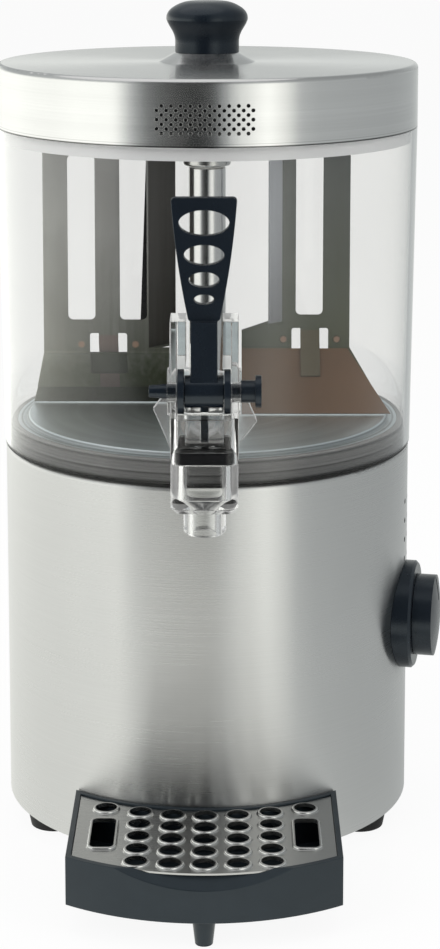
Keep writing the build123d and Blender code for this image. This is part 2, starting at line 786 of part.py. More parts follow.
element_z = heater_low - ELEMENT_D / 2
element_arc = 360 - ELEMENT_GAP_ANGLE
with BuildPart() as heating_element:
    with BuildSketch(Plane.XZ):
        with Locations((element_ring_r, element_z)):
            Circle(ELEMENT_D / 2)
    revolve(axis=Axis.Z, revolution_arc=element_arc)
    for end_angle in (0, element_arc):
        end_x = element_ring_r * cos(radians(end_angle))
        end_y = element_ring_r * sin(radians(end_angle))
        sleeve_plane = Plane(origin=(end_x, end_y, heater_low))
        disc_on(sleeve_plane, ELEMENT_SLEEVE_D, -ELEMENT_TAIL, 0)
save(heating_element, "heating_element")

limiter_reach = element_ring_r - (ELEMENT_D + LIMITER_D) / 2 - LIMITER_GAP
limiter_x = limiter_reach * cos(radians(LIMITER_ANGLE))
limiter_y = limiter_reach * sin(radians(LIMITER_ANGLE))
limiter_plane = Plane(origin=(limiter_x, limiter_y, heater_low))
with BuildPart() as limit_thermostat:
    disc_on(limiter_plane, LIMITER_D, -LIMITER_T / 3, 0)
    disc_on(limiter_plane, LIMITER_D * 0.75, -LIMITER_T, -LIMITER_T / 3)
save(limit_thermostat, "limit_thermostat")

# Geared motor hung under a sheet bridge that stands on the base plate
motor_screw_spots = [(x * GEARBOX_W * 0.38, y * GEARBOX_DEPTH * 0.38) for x in (-1, 1) for y in (-1, 1)]
gearbox_low = gearbox_top - GEARBOX_H
bridge_leg_x = BRIDGE_W / 2 - BRIDGE_SHEET / 2
with BuildPart() as motor_bridge:
    with BuildSketch(Plane.XZ):
        with BuildLine():
            Polyline(
                (-bridge_leg_x - BRIDGE_FOOT, plate_top + BRIDGE_SHEET / 2),
                (-bridge_leg_x, plate_top + BRIDGE_SHEET / 2),
                (-bridge_leg_x, bridge_top - BRIDGE_SHEET / 2),
                (bridge_leg_x, bridge_top - BRIDGE_SHEET / 2),
                (bridge_leg_x, plate_top + BRIDGE_SHEET / 2),
                (bridge_leg_x + BRIDGE_FOOT, plate_top + BRIDGE_SHEET / 2),
            )
        trace(line_width=BRIDGE_SHEET)
    extrude(amount=BRIDGE_DEPTH / 2, both=True)
    with BuildSketch(Plane.XY.offset(bridge_top)):
        Circle(shaft_r + LOOSE_GAP)
        with Locations(*motor_screw_spots):
            Circle(MOTOR_SCREW_D / 2 + SEAT_GAP)
    extrude(amount=-2 * BRIDGE_SHEET, mode=Mode.SUBTRACT)
save(motor_bridge, "motor_bridge")

with BuildPart() as gearbox:
    with BuildSketch(Plane.XY.offset(gearbox_low)):
        RectangleRounded(GEARBOX_W, GEARBOX_DEPTH, MOTOR_SCREW_HEAD_D / 2)
    extrude(amount=GEARBOX_H)
    ring(0, shaft_r + RUNNING_GAP, gearbox_top - OUTPUT_BITE - SEAT_GAP, gearbox_top, mode=Mode.SUBTRACT)
    with BuildSketch(Plane.XY.offset(gearbox_top)):
        with Locations(*motor_screw_spots):
            Circle(MOTOR_SCREW_D / 2 + SEAT_GAP)
    extrude(amount=-MOTOR_SCREW_BITE - SEAT_GAP, mode=Mode.SUBTRACT)
save(gearbox, "gearbox")

with BuildPart() as motor:
    ring(0, MOTOR_D / 2, gearbox_low - MOTOR_H, gearbox_low)
    fillet(motor.edges().group_by(Axis.Z)[0], MOTOR_D / 12)
save(motor, "motor")

with BuildPart() as motor_screws:
    for screw_x, screw_y in motor_screw_spots:
        screw_plane = Plane(origin=(screw_x, screw_y, bridge_top))
        disc_on(screw_plane, MOTOR_SCREW_D, -BRIDGE_SHEET - MOTOR_SCREW_BITE, 0)
        disc_on(screw_plane, MOTOR_SCREW_HEAD_D, 0, MOTOR_SCREW_HEAD_T)
save(motor_screws, "motor_screws")

# Temperature control: thermostat inside the shell, bezel and knob outside
stat_face = sqrt((body_r - BODY_SHEET) ** 2 - (STAT_BOX / 2) ** 2) - body_r - SEAT_GAP
bezel_floor = BEZEL_PROUD - STAT_NUT_T - SEAT_GAP
bush_end = bezel_floor + STAT_NUT_T
with BuildPart() as thermostat:
    with BuildSketch(knob_plane.offset(stat_face - STAT_DEPTH)):
        RectangleRounded(STAT_BOX, STAT_BOX, STAT_BOX / 12)
    extrude(amount=STAT_DEPTH)
    disc_on(knob_plane, STAT_BUSH_D, stat_face, bush_end)
    disc_on(knob_plane, SPINDLE_D + 2 * RUNNING_GAP, stat_face - STAT_DEPTH / 2, bush_end, mode=Mode.SUBTRACT)
save(thermostat, "thermostat")

with BuildPart() as knob_bezel:
    with BuildSketch(knob_plane.offset(-BEZEL_D / 6)):
        Circle(BEZEL_D / 2)
    extrude(amount=BEZEL_D / 6 + BEZEL_PROUD)
    chamfer(knob_bezel.faces().sort_by(Axis.X)[-1].edges(), BEZEL_EDGE)
    ring(0, body_r + SEAT_GAP, knob_z - BEZEL_D, knob_z + BEZEL_D, mode=Mode.SUBTRACT)
    disc_on(knob_plane, STAT_BUSH_D + 2 * SEAT_GAP, 0, BEZEL_PROUD, mode=Mode.SUBTRACT)
    disc_on(knob_plane, STAT_NUT_D + LOOSE_GAP, bezel_floor, BEZEL_PROUD, mode=Mode.SUBTRACT)
save(knob_bezel, "knob_bezel")

with BuildPart() as thermostat_nut:
    with BuildSketch(knob_plane.offset(bezel_floor)):
        RegularPolygon(STAT_NUT_D / 2, 6)
        Circle(STAT_BUSH_D / 2 + SEAT_GAP, mode=Mode.SUBTRACT)
    extrude(amount=STAT_NUT_T)
save(thermostat_nut, "thermostat_nut")

knob_back = BEZEL_PROUD + SLIDING_GAP
knob_front = knob_back + KNOB_L
dome_top = knob_front + KNOB_DOME
spindle_end = knob_front - KNOB_DOME
dome_r = ((KNOB_D / 2) ** 2 + KNOB_DOME**2) / (2 * KNOB_DOME)
knob_axis = Axis(knob_plane.origin, knob_plane.z_dir)
knob_section = Plane(origin=knob_plane.origin, x_dir=knob_plane.x_dir, z_dir=knob_plane.y_dir * -1)
with BuildPart() as control_knob:
    with BuildSketch(knob_section):
        with BuildLine():
            Polyline((0, dome_top), (0, knob_back), (KNOB_D / 2, knob_back), (KNOB_D / 2, knob_front))
            RadiusArc((KNOB_D / 2, knob_front), (0, dome_top), -dome_r)
        make_face()
    revolve(axis=knob_axis)
    disc_on(knob_plane, SPINDLE_D + 2 * SEAT_GAP, knob_back, spindle_end + SEAT_GAP, mode=Mode.SUBTRACT)
    with BuildSketch(knob_plane.offset(dome_top)):
        with Locations((0, KNOB_D * 0.34)):
            RectangleRounded(KNOB_MARK_W, KNOB_D * 0.3, KNOB_MARK_W * 0.4)
    extrude(amount=-KNOB_DOME - KNOB_MARK_DEPTH, mode=Mode.SUBTRACT)
save(control_knob, "control_knob")

with BuildPart() as knob_spindle:
    disc_on(knob_plane, SPINDLE_D, stat_face - STAT_DEPTH / 2 + SEAT_GAP, spindle_end)
save(knob_spindle, "knob_spindle")

# Mains inlet gland at the rear, its lock nut and the terminal block inside
with BuildPart() as cable_gland:
    disc_on(gland_plane, GLAND_FLANGE_D, SEAT_GAP, GLAND_FLANGE_T)
    fillet(cable_gland.faces().sort_by(Axis.Y)[-1].edges(), GLAND_FLANGE_T / 3)
    disc_on(gland_plane, GLAND_D, GLAND_FLANGE_T - GLAND_L, GLAND_FLANGE_T / 2)
    disc_on(gland_plane, GLAND_BORE_D, -GLAND_L, GLAND_L, mode=Mode.SUBTRACT)
save(cable_gland, "cable_gland")

gland_nut_out = sqrt((body_r - BODY_SHEET) ** 2 - (GLAND_NUT_D / 2) ** 2) - body_r - SEAT_GAP
with BuildPart() as gland_nut:
    with BuildSketch(gland_plane.offset(gland_nut_out - GLAND_NUT_T)):
        RegularPolygon(GLAND_NUT_D / 2, 6)
        Circle(GLAND_D / 2 + SEAT_GAP, mode=Mode.SUBTRACT)
    extrude(amount=GLAND_NUT_T)
save(gland_nut, "gland_nut")

terminal_plane = Plane(origin=(TERMINAL_SIDE_IN - body_r, body_r - TERMINAL_REAR_IN, plate_top))
with BuildPart() as terminal_block:
    with BuildSketch(terminal_plane):
        Rectangle(TERMINAL_L, TERMINAL_W)
    extrude(amount=TERMINAL_H)
    with BuildSketch(terminal_plane.offset(TERMINAL_H)):
        with GridLocations(TERMINAL_L / 3, TERMINAL_W / 2, 3, 2):
            Circle(TERMINAL_W / 6)
    extrude(amount=-TERMINAL_H / 2, mode=Mode.SUBTRACT)
save(terminal_block, "terminal_block")

# Pegs on the body that carry the rear of the drip tray
with BuildPart() as tray_pegs:
    for peg_x in (-PEG_X, PEG_X):
        peg_plane = Plane(origin=(peg_x, -peg_depth, peg_z), x_dir=(1, 0, 0), z_dir=(0, -1, 0))
        disc_on(peg_plane, PEG_D, -PEG_HEAD_D / 2, PEG_REACH)
        peg_inside = sqrt((body_r - BODY_SHEET) ** 2 - (PEG_X + PEG_HEAD_D / 2) ** 2) - peg_depth - SEAT_GAP
        disc_on(peg_plane, PEG_HEAD_D, peg_inside - PEG_HEAD_T, peg_inside)
save(tray_pegs, "tray_pegs")

# Clear tank: a drafted wall open at both ends, with one hole for the tap
tap_r = tank_outer(tail_z)
tail_plane = side_plane(-90, tail_z, tap_r)
with BuildPart() as tank:
    turned(
        (tank_low_r - TANK_WALL, tank_low),
        (tank_low_r, tank_low),
        (lid_r, tank_top),
        (lid_r - TANK_WALL, tank_top),
    )
    disc_on(tail_plane, TAIL_D + 2 * SEAT_GAP, -cut_depth, cut_depth, mode=Mode.SUBTRACT)
save(tank, "tank")

# Lid: pressed sheet with a raised cone for the knob and a perforated patch at the front
cone_r = LID_CONE_D / 2
cone_top_r = LID_CONE_TOP_D / 2
lid_corner = (lid_r - LID_EDGE_R, lid_top - LID_EDGE_R)
with BuildPart() as lid:
    with BuildSketch(Plane.XZ):
        with BuildLine():
            Line((lid_r, lid_low), (lid_r, lid_corner[1]))
            CenterArc(lid_corner, LID_EDGE_R, 0, 90)
            Polyline(
                (lid_corner[0], lid_top),
                (cone_r, lid_top),
                (cone_top_r, lid_cone_top),
                (LID_SCREW_D / 2 + SEAT_GAP, lid_cone_top),
                (LID_SCREW_D / 2 + SEAT_GAP, lid_cone_top - LID_SHEET),
                (cone_top_r - LID_SHEET / 2, lid_cone_top - LID_SHEET),
                (cone_r - LID_SHEET / 2, lid_top - LID_SHEET),
                (lid_corner[0], lid_top - LID_SHEET),
            )
            CenterArc(lid_corner, LID_EDGE_R - LID_SHEET, 0, 90)
            Polyline((lid_r - LID_SHEET, lid_corner[1]), (lid_r - LID_SHEET, lid_low), (lid_r, lid_low))
        make_face()
    revolve(axis=Axis.Z)
    with BuildSketch(front_plane(-lid_r)):
        for row in range(PERF_ROWS):
            row_z = lid_low + PERF_Z_IN_LID + (row - (PERF_ROWS - 1) / 2) * PERF_PITCH_Z
            row_count = PERF_LONG_ROW - (row + 1) % 2
            with Locations((0, row_z)):
                with GridLocations(PERF_PITCH_X, PERF_PITCH_Z, row_count, 1):
                    Circle(PERF_D / 2)
    extrude(amount=cut_depth, both=True, mode=Mode.SUBTRACT)
save(lid, "lid")

# Locating ring inside the lid that drops into the tank mouth
ring_out = tank_outer(lid_low - LID_RING_H) - TANK_WALL - LOOSE_GAP
with BuildPart() as lid_ring:
    ring(ring_out - LID_RING_T, ring_out, lid_low - LID_RING_H, lid_low)
    ring(ring_out - LID_RING_T, lid_r - LID_SHEET - SEAT_GAP, lid_low, lid_low + LID_RING_H)
save(lid_ring, "lid_ring")

knob_base_r = LID_KNOB_BASE_D / 2
knob_wide_r = LID_KNOB_D / 2
neck_z = lid_cone_top + LID_KNOB_NECK_H
flare_z = neck_z + LID_KNOB_FLARE_H
knob_top = lid_cone_top + LID_KNOB_H
with BuildPart() as lid_knob:
    with BuildSketch(Plane.XZ):
        with BuildLine():
            Polyline((0, knob_top), (0, lid_cone_top), (knob_base_r, lid_cone_top), (knob_base_r, neck_z))
            Spline((knob_base_r, neck_z), (knob_wide_r, flare_z), tangents=[(0, 1), (0.3, 1)])
            Spline(
                (knob_wide_r, flare_z),
                (knob_wide_r * 0.78, knob_top - LID_KNOB_H * 0.1),
                (0, knob_top),
                tangents=[(0.1, 1), (-1, 0)],
            )
        make_face()
    revolve(axis=Axis.Z)
    bite_top = lid_cone_top + LID_SCREW_BITE + SEAT_GAP
    ring(0, LID_SCREW_D / 2 + SEAT_GAP, lid_cone_top, bite_top, mode=Mode.SUBTRACT)
save(lid_knob, "lid_knob")

with BuildPart() as lid_screw:
    screw_seat = lid_cone_top - LID_SHEET
    ring(0, LID_SCREW_D / 2, screw_seat, lid_cone_top + LID_SCREW_BITE)
    ring(0, LID_SCREW_HEAD_D / 2, screw_seat - LID_SCREW_HEAD_T, screw_seat)
save(lid_screw, "lid_screw")

# Tap body: clear square barrel with a valve seat, nozzle, threaded tail and two cheeks for the lever pivot
tap_y = -(tap_r + TAP_REACH)
barrel_plane = Plane(origin=(0, tap_y, tail_z))
barrel_low = -BARREL_DROP
nozzle_low = barrel_low - NOZZLE_L
seat = -SEAT_DROP
pivot_z = tail_z + PIVOT_RISE
pivot_y = tap_y - NOSE_R * (1 + cos(radians(NOSE_ANGLE))) / 2
cheek_top = tail_z + CHEEK_RISE
cheek_low = tail_z + seat
bore_w = BARREL_W - 2 * BARREL_WALL
bore_corner = BARREL_CORNER_R - BARREL_WALL
wall_sag = tap_r - TANK_WALL - sqrt((tap_r - TANK_WALL) ** 2 - (TAP_NUT_AC / 2) ** 2)
nut_face = -TANK_WALL - wall_sag - SEAT_GAP - TAP_GASKET_T / 2
tail_end = nut_face - TAP_NUT_T - TAP_GASKET_T / 2
pivot_plane = Plane(origin=(0, pivot_y, pivot_z), x_dir=(0, 1, 0), z_dir=(1, 0, 0))
side_view = Plane.YZ


def mirrored_plates(near, far, *points):
    """Pair of plates either side of the middle, with a side view given as depth and height."""
    with BuildSketch(side_view) as plate_face:
        with BuildLine():
            Polyline(*points, close=True)
        make_face()
    for start, end in ((near, far), (-far, -near)):
        extrude(Location((start, 0, 0)) * plate_face.sketch, amount=end - start)


with BuildPart() as tap_body:
    block_on(barrel_plane, BARREL_W, BARREL_CORNER_R, barrel_low, BARREL_RISE)
    chamfer(tap_body.faces().sort_by(Axis.Z)[0].edges(), BARREL_CHAMFER)
    disc_on(barrel_plane, NOZZLE_D, nozzle_low, barrel_low)
    chamfer(tap_body.faces().sort_by(Axis.Z)[0].edges(), BARREL_CHAMFER / 2)
    disc_on(tail_plane, TAIL_D, tail_end, TAP_REACH)
    with BuildSketch(tail_plane.offset(TAP_GASKET_T)):
        RegularPolygon(FLANGE_AC / 2, 6, rotation=FLANGE_TURN)
    extrude(amount=FLANGE_T)
    mirrored_plates(
        CHEEK_IN,
        CHEEK_OUT,
        (tap_y + CHEEK_REAR, cheek_low),
        (tap_y + CHEEK_REAR, pivot_z),
        (tap_y + CHEEK_REAR / 3, cheek_top),
        (pivot_y, cheek_top),
        (pivot_y - BOSS_D / 2, pivot_z),
        (tap_y - CHEEK_REAR, cheek_low),
    )
    mirrored_plates(
        CHEEK_PAD_IN,
        CHEEK_IN,
        (tap_y + CHEEK_REAR / 2, cheek_top - CHEEK_PAD_H),
        (tap_y + CHEEK_REAR / 3, cheek_top),
        (pivot_y, cheek_top),
        (pivot_y - BOSS_D / 4, cheek_top - CHEEK_PAD_H),
    )
    disc_on(pivot_plane, BOSS_D, CHEEK_IN, BOSS_OUT)
    disc_on(pivot_plane, BOSS_D, -BOSS_OUT, -CHEEK_IN)
    disc_on(pivot_plane, PIVOT_PIN_D + 2 * SEAT_GAP, -BARREL_W, BARREL_W, mode=Mode.SUBTRACT)
    block_on(barrel_plane, bore_w, bore_corner, seat, BARREL_RISE, mode=Mode.SUBTRACT)
    block_on(barrel_plane, SEAT_BORE_W, bore_corner, barrel_low + FUNNEL_H, seat, mode=Mode.SUBTRACT)
    with BuildSketch(barrel_plane.offset(barrel_low)):
        Circle(NOZZLE_BORE_D / 2)
    with BuildSketch(barrel_plane.offset(barrel_low + FUNNEL_H)):
        RectangleRounded(SEAT_BORE_W, SEAT_BORE_W, bore_corner)
    loft(mode=Mode.SUBTRACT)
    disc_on(barrel_plane, NOZZLE_BORE_D, nozzle_low, barrel_low, mode=Mode.SUBTRACT)
    disc_on(tail_plane, TAIL_BORE_D, tail_end, TAP_REACH, mode=Mode.SUBTRACT)
save(tap_body, "tap_body")

# Gaskets either side of the tank wall, shaped to its curve, and the nut inside the tank
with BuildPart() as tap_gasket:
    disc_on(tail_plane, TAP_GASKET_D, -TAP_GASKET_T, TAP_GASKET_T, inner=TAIL_D + 2 * SEAT_GAP)
    turned(
        (0, tank_low),
        (tank_low_r + SEAT_GAP, tank_low),
        (lid_r + SEAT_GAP, tank_top),
        (0, tank_top),
        mode=Mode.SUBTRACT,
    )
save(tap_gasket, "tap_gasket")

with BuildPart() as inner_gasket:
    disc_on(tail_plane, TAP_GASKET_D, nut_face, TAP_GASKET_T, inner=TAIL_D + 2 * SEAT_GAP)
    turned(
        (0, tank_low),
        (tank_low_r - TANK_WALL - SEAT_GAP, tank_low),
        (lid_r - TANK_WALL - SEAT_GAP, tank_top),
        (0, tank_top),
        mode=Mode.INTERSECT,
    )
save(inner_gasket, "inner_gasket")

with BuildPart() as tap_nut:
    with BuildSketch(tail_plane.offset(nut_face - TAP_NUT_T)):
        RegularPolygon(TAP_NUT_AC / 2, 6)
        Circle(TAIL_D / 2 + SEAT_GAP, mode=Mode.SUBTRACT)
    extrude(amount=TAP_NUT_T)
save(tap_nut, "tap_nut")

# Guide ring in the barrel top that steers the piston
guide_top = BARREL_RISE - GUIDE_RING_LAND
with BuildPart() as guide_ring:
    guide_low = guide_top - GUIDE_RING_T
    block_on(barrel_plane, bore_w - 2 * SEAT_GAP, bore_corner - SEAT_GAP, guide_low, guide_top)
    guide_hole = PISTON_W + 2 * SLIDING_GAP
    hole_corner = PISTON_CORNER_R + SLIDING_GAP
    block_on(barrel_plane, guide_hole, hole_corner, guide_low, guide_top, mode=Mode.SUBTRACT)
save(guide_ring, "guide_ring")

# Pivot pin pushed in from the right, with a tapered tip and a flanged head, and two side washers
with BuildPart() as pivot_pin:
    disc_on(pivot_plane, PIVOT_PIN_D, -BOSS_OUT, BOSS_OUT + SEAT_GAP)
    with BuildSketch(pivot_plane.offset(-BOSS_OUT)):
        Circle(PIVOT_PIN_D / 2)
    with BuildSketch(pivot_plane.offset(-PIVOT_TIP_REACH)):
        Circle(PIVOT_TIP_D / 2)
    loft()
    head_start = BOSS_OUT + SEAT_GAP
    disc_on(pivot_plane, PIVOT_HEAD_D, head_start, head_start + PIVOT_HEAD_L)
    disc_on(pivot_plane, PIVOT_RIM_D, head_start + PIVOT_HEAD_L, head_start + PIVOT_HEAD_L + PIVOT_RIM_T)
save(pivot_pin, "pivot_pin")

washer_in = HUB_LEVER_W / 2 + SLIDING_GAP
washer_bore = PIVOT_PIN_D + 2 * SEAT_GAP
with BuildPart() as pivot_washers:
    for washer_start in (washer_in, -washer_in - WASHER_T):
        disc_on(pivot_plane, WASHER_D, washer_start, washer_start + WASHER_T, inner=washer_bore)
save(pivot_washers, "pivot_washers")

# Lever: pivot hub, rear ears with a cross pin, shank and a flared handle with four oval windows
nose_y = pivot_y + NOSE_R * cos(radians(NOSE_ANGLE))
nose_z = pivot_z - NOSE_R * sin(radians(NOSE_ANGLE))
nose_plane = Plane(origin=(0, nose_y, nose_z), x_dir=(0, 1, 0), z_dir=(1, 0, 0))
shank_top = pivot_z + SHANK_L
handle_top = shank_top + HANDLE_L
handle_front = pivot_y - SHANK_T / 2 + HANDLE_LEDGE
handle_low_half = HANDLE_LOW_W / 2
handle_mid_half = HANDLE_MID_W / 2
handle_top_half = HANDLE_TOP_W / 2
handle_mid = shank_top + HANDLE_L / 2
ovals = [
    (OVAL_TOP_W, OVAL_TOP_H),
    (OVAL_UPPER_W, OVAL_UPPER_H),
    (OVAL_LOWER_W, OVAL_LOWER_H),
    (OVAL_LOW_W, OVAL_LOW_H),
]
with BuildPart() as tap_lever:
    disc_on(pivot_plane, HUB_LEVER_D, -HUB_LEVER_W / 2, HUB_LEVER_W / 2)
    for ear_start in (EAR_SET, -EAR_SET - EAR_T):
        with BuildSketch(pivot_plane.offset(ear_start)):
            with Locations(Location((0, 0), -NOSE_ANGLE)):
                with Locations((NOSE_R / 2, 0)):
                    SlotCenterToCenter(NOSE_R, EAR_W)
        extrude(amount=EAR_T)
    disc_on(nose_plane, NOSE_PIN_D, -EAR_SET - EAR_T, EAR_SET + EAR_T)
    with BuildSketch(Plane(origin=(0, pivot_y, pivot_z))):
        Rectangle(SHANK_W, SHANK_T)
    extrude(amount=SHANK_L)
    with BuildSketch(front_plane(handle_front)) as handle_face:
        with BuildLine():
            Line((-handle_low_half, shank_top), (handle_low_half, shank_top))
            ThreePointArc(
                (handle_low_half, shank_top), (handle_mid_half, handle_mid), (handle_top_half, handle_top)
            )
            Line((handle_top_half, handle_top), (-handle_top_half, handle_top))
            ThreePointArc(
                (-handle_top_half, handle_top), (-handle_mid_half, handle_mid), (-handle_low_half, shank_top)
            )
        make_face()
        fillet(handle_face.vertices().group_by(Axis.Z)[-1], HANDLE_CORNER_R)
        for oval_w, oval_h in ovals:
            with Locations((0, shank_top + oval_h)):
                Ellipse(oval_w / 2, oval_w / OVAL_ASPECT / 2, mode=Mode.SUBTRACT)
    extrude(amount=-HANDLE_T)
    disc_on(pivot_plane, PIVOT_PIN_D + 2 * RUNNING_GAP, -BARREL_W, BARREL_W, mode=Mode.SUBTRACT)
save(tap_lever, "tap_lever")

# Piston with its valve seal and a flat stem whose eye takes the lever's cross pin
piston_low = seat + SEAT_GAP + PISTON_SEAL_T
seal_w = bore_w - 2 * SEAL_PLAY
seal_corner = bore_corner - SEAL_PLAY
piston_top = piston_low + PISTON_L
stem_low = piston_top - STEM_BITE
with BuildPart() as tap_piston:
    disc_on(barrel_plane, PISTON_STUB_D, seat + SEAT_GAP, piston_low)
    block_on(barrel_plane, seal_w, seal_corner, piston_low, piston_low + PISTON_PLATE_T)
    block_on(barrel_plane, PISTON_W, PISTON_CORNER_R, piston_low, piston_top)
    with BuildSketch(barrel_plane.offset(piston_top)):
        Rectangle(STEM_T + 2 * SEAT_GAP, STEM_W + 2 * SEAT_GAP)
    extrude(amount=-STEM_BITE - SEAT_GAP, mode=Mode.SUBTRACT)
save(tap_piston, "tap_piston")

with BuildPart() as piston_seal:
    block_on(barrel_plane, seal_w, seal_corner, seat + SEAT_GAP, piston_low)
    fillet(piston_seal.faces().filter_by(Axis.Z).edges(), PISTON_SEAL_T / 5)
    stub_hole = PISTON_STUB_D + 2 * SEAT_GAP
    disc_on(barrel_plane, stub_hole, seat + SEAT_GAP, piston_low, mode=Mode.SUBTRACT)
save(piston_seal, "piston_seal")

eye_play = NOSE_R * (1 - cos(radians(NOSE_ANGLE))) / 2
eye_height = NOSE_PIN_D + 2 * SLIDING_GAP
eye_length = eye_height + 2 * eye_play
stem_top = nose_z + eye_height / 2 + STEM_T / 2
with BuildPart() as piston_stem:
    with BuildSketch(side_view):
        with Locations((tap_y, (tail_z + stem_low + stem_top) / 2)):
            RectangleRounded(STEM_W, stem_top - tail_z - stem_low, STEM_T / 2)
        with Locations((tap_y, nose_z)):
            SlotOverall(eye_length, eye_height, mode=Mode.SUBTRACT)
    extrude(amount=STEM_T / 2, both=True)
save(piston_stem, "piston_stem")

# Drip tray: follows the body at the rear and bows out at the front, with a finger scoop and a front foot
tray_bow = TRAY_FRONT_REACH - TRAY_SIDE_REACH
tray_front_r = (TRAY_HALF_W**2 + tray_bow**2) / (2 * tray_bow)
tray_front_y = -body_r - TRAY_FRONT_REACH
tray_centre_y = tray_front_y + tray_front_r


def tray_plan(plane, inset, front_inset):
    """Plan of the tray, drawn in by a side and rear inset and by a front inset."""
    half = TRAY_HALF_W - inset
    rear_r = body_r + TRAY_BODY_GAP + inset
    rear_y = -sqrt(rear_r**2 - half**2)
    front_r = tray_front_r - front_inset
    corner_y = tray_centre_y - sqrt(front_r**2 - half**2)
    front_y = tray_centre_y - front_r
    with BuildSketch(plane) as plan:
        with BuildLine():
            Line((half, rear_y), (half, corner_y))
            ThreePointArc((half, corner_y), (0, front_y), (-half, corner_y))
            Line((-half, corner_y), (-half, rear_y))
            ThreePointArc((-half, rear_y), (0, -rear_r), (half, rear_y))
        make_face()
    return plan.sketch


scoop_run = tray_front_r - sqrt(tray_front_r**2 - SCOOP_HALF_W**2)
grid_low = tray_top - TRAY_LEDGE_DROP
ledge_in = TRAY_WALL + TRAY_LEDGE_W
ledge_front = TRAY_FRONT_WALL + TRAY_LEDGE_W
foot_y = -body_r - TRAY_FOOT_REACH
foot_plane = Plane(origin=(0, foot_y, 0))
with BuildPart() as drip_tray:
    extrude(tray_plan(Plane.XY.offset(TRAY_LIFT), 0, 0), amount=TRAY_H)
    well = tray_plan(Plane.XY.offset(TRAY_LIFT + TRAY_FLOOR_T), ledge_in, ledge_front)
    extrude(well, amount=TRAY_H, mode=Mode.SUBTRACT)
    rebate = tray_plan(Plane.XY.offset(grid_low), TRAY_WALL, TRAY_FRONT_WALL)
    extrude(rebate, amount=TRAY_H, mode=Mode.SUBTRACT)
    with BuildSketch(side_view):
        with BuildLine():
            Polyline(
                (tray_front_y + scoop_run, tray_top),
                (tray_front_y - scoop_run, tray_top - 2 * SCOOP_DEPTH),
                (tray_front_y - scoop_run, tray_top + SCOOP_DEPTH),
                (tray_front_y + scoop_run, tray_top + SCOOP_DEPTH),
                close=True,
            )
        make_face()
    extrude(amount=TRAY_HALF_W, both=True, mode=Mode.SUBTRACT)
    with BuildSketch(foot_plane):
        Circle(TRAY_FOOT_TIP_W / 2)
    with BuildSketch(foot_plane.offset(TRAY_LIFT)):
        Circle(TRAY_FOOT_W / 2)
    loft()
    with BuildSketch(front_plane(-peg_depth)):
        with Locations((PEG_X, peg_z), (-PEG_X, peg_z)):
            Circle(PEG_D / 2 + SLIDING_GAP)
    extrude(amount=cut_depth / 2, mode=Mode.SUBTRACT)
save(drip_tray, "drip_tray")

# Drip grid: sheet with raised-lip holes in rows that follow the body, side slots and corner holes
grid_top = grid_low + GRID_T
hole_spots = []
for row in range(GRID_ROWS):
    row_r = body_r + GRID_FIRST_REACH + GRID_ROW * row
    for column in range(-2, 3):
        column_x = column * GRID_COLUMN
        hole_spots.append((column_x, -sqrt(row_r**2 - column_x**2)))
side_spots = [(side * GRID_SIDE_X, -body_r - GRID_SIDE_HOLE_REACH) for side in (-1, 1)]
slot_spots = [(side * GRID_SIDE_X, -body_r - GRID_SLOT_REACH) for side in (-1, 1)]
slot_corner = GRID_SLOT_W / 4
slot_lip_w = GRID_SLOT_W + 2 * GRID_LIP_W
slot_lip_l = GRID_SLOT_L + 2 * GRID_LIP_W
grid_plan = tray_plan(Plane.XY.offset(grid_low), TRAY_WALL + SLIDING_GAP, TRAY_FRONT_WALL + SLIDING_GAP)
with BuildPart() as drip_grid:
    extrude(grid_plan, amount=GRID_T)
    with BuildSketch(Plane.XY.offset(grid_top)):
        with Locations(*hole_spots, *side_spots):
            Circle(GRID_HOLE_D / 2 + GRID_LIP_W)
        with Locations(*slot_spots):
            RectangleRounded(slot_lip_w, slot_lip_l, slot_corner + GRID_LIP_W)
    extrude(amount=GRID_LIP_H, taper=GRID_LIP_TAPER)
    with BuildSketch(Plane.XY.offset(grid_low)):
        with Locations(*hole_spots, *side_spots):
            Circle(GRID_HOLE_D / 2)
        with Locations(*slot_spots):
            RectangleRounded(GRID_SLOT_W, GRID_SLOT_L, slot_corner)
    extrude(amount=TRAY_H, mode=Mode.SUBTRACT)
save(drip_grid, "drip_grid")
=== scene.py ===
"""Looks of a countertop hot chocolate dispenser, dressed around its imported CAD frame.

Each sub-assembly is a class that shapes its visible pieces and gives them a finish. Everything is in metres, with +Z
up, the front towards -Y and the origin on the body axis at the table, as in the CAD frame.
"""

import json
import logging
import math
from dataclasses import dataclass
from enum import Enum

import bmesh
import bpy
from mathutils import Euler, Matrix, Vector

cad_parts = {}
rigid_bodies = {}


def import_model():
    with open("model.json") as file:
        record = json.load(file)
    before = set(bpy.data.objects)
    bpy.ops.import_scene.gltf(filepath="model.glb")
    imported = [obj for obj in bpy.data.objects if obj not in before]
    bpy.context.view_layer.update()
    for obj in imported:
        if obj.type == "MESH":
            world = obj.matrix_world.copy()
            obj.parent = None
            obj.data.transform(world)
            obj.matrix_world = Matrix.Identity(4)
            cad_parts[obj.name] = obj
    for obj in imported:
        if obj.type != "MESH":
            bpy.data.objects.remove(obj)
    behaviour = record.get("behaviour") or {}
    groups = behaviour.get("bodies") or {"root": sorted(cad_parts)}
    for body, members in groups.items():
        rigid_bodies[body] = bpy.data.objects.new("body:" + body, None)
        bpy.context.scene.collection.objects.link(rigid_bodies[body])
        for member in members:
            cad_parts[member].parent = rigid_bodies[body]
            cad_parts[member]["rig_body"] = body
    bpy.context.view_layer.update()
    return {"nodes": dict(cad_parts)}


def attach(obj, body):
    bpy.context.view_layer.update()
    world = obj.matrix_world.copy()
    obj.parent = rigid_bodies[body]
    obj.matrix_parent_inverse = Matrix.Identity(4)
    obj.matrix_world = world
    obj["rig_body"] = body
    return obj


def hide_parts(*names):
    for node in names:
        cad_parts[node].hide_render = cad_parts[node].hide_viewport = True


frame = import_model()

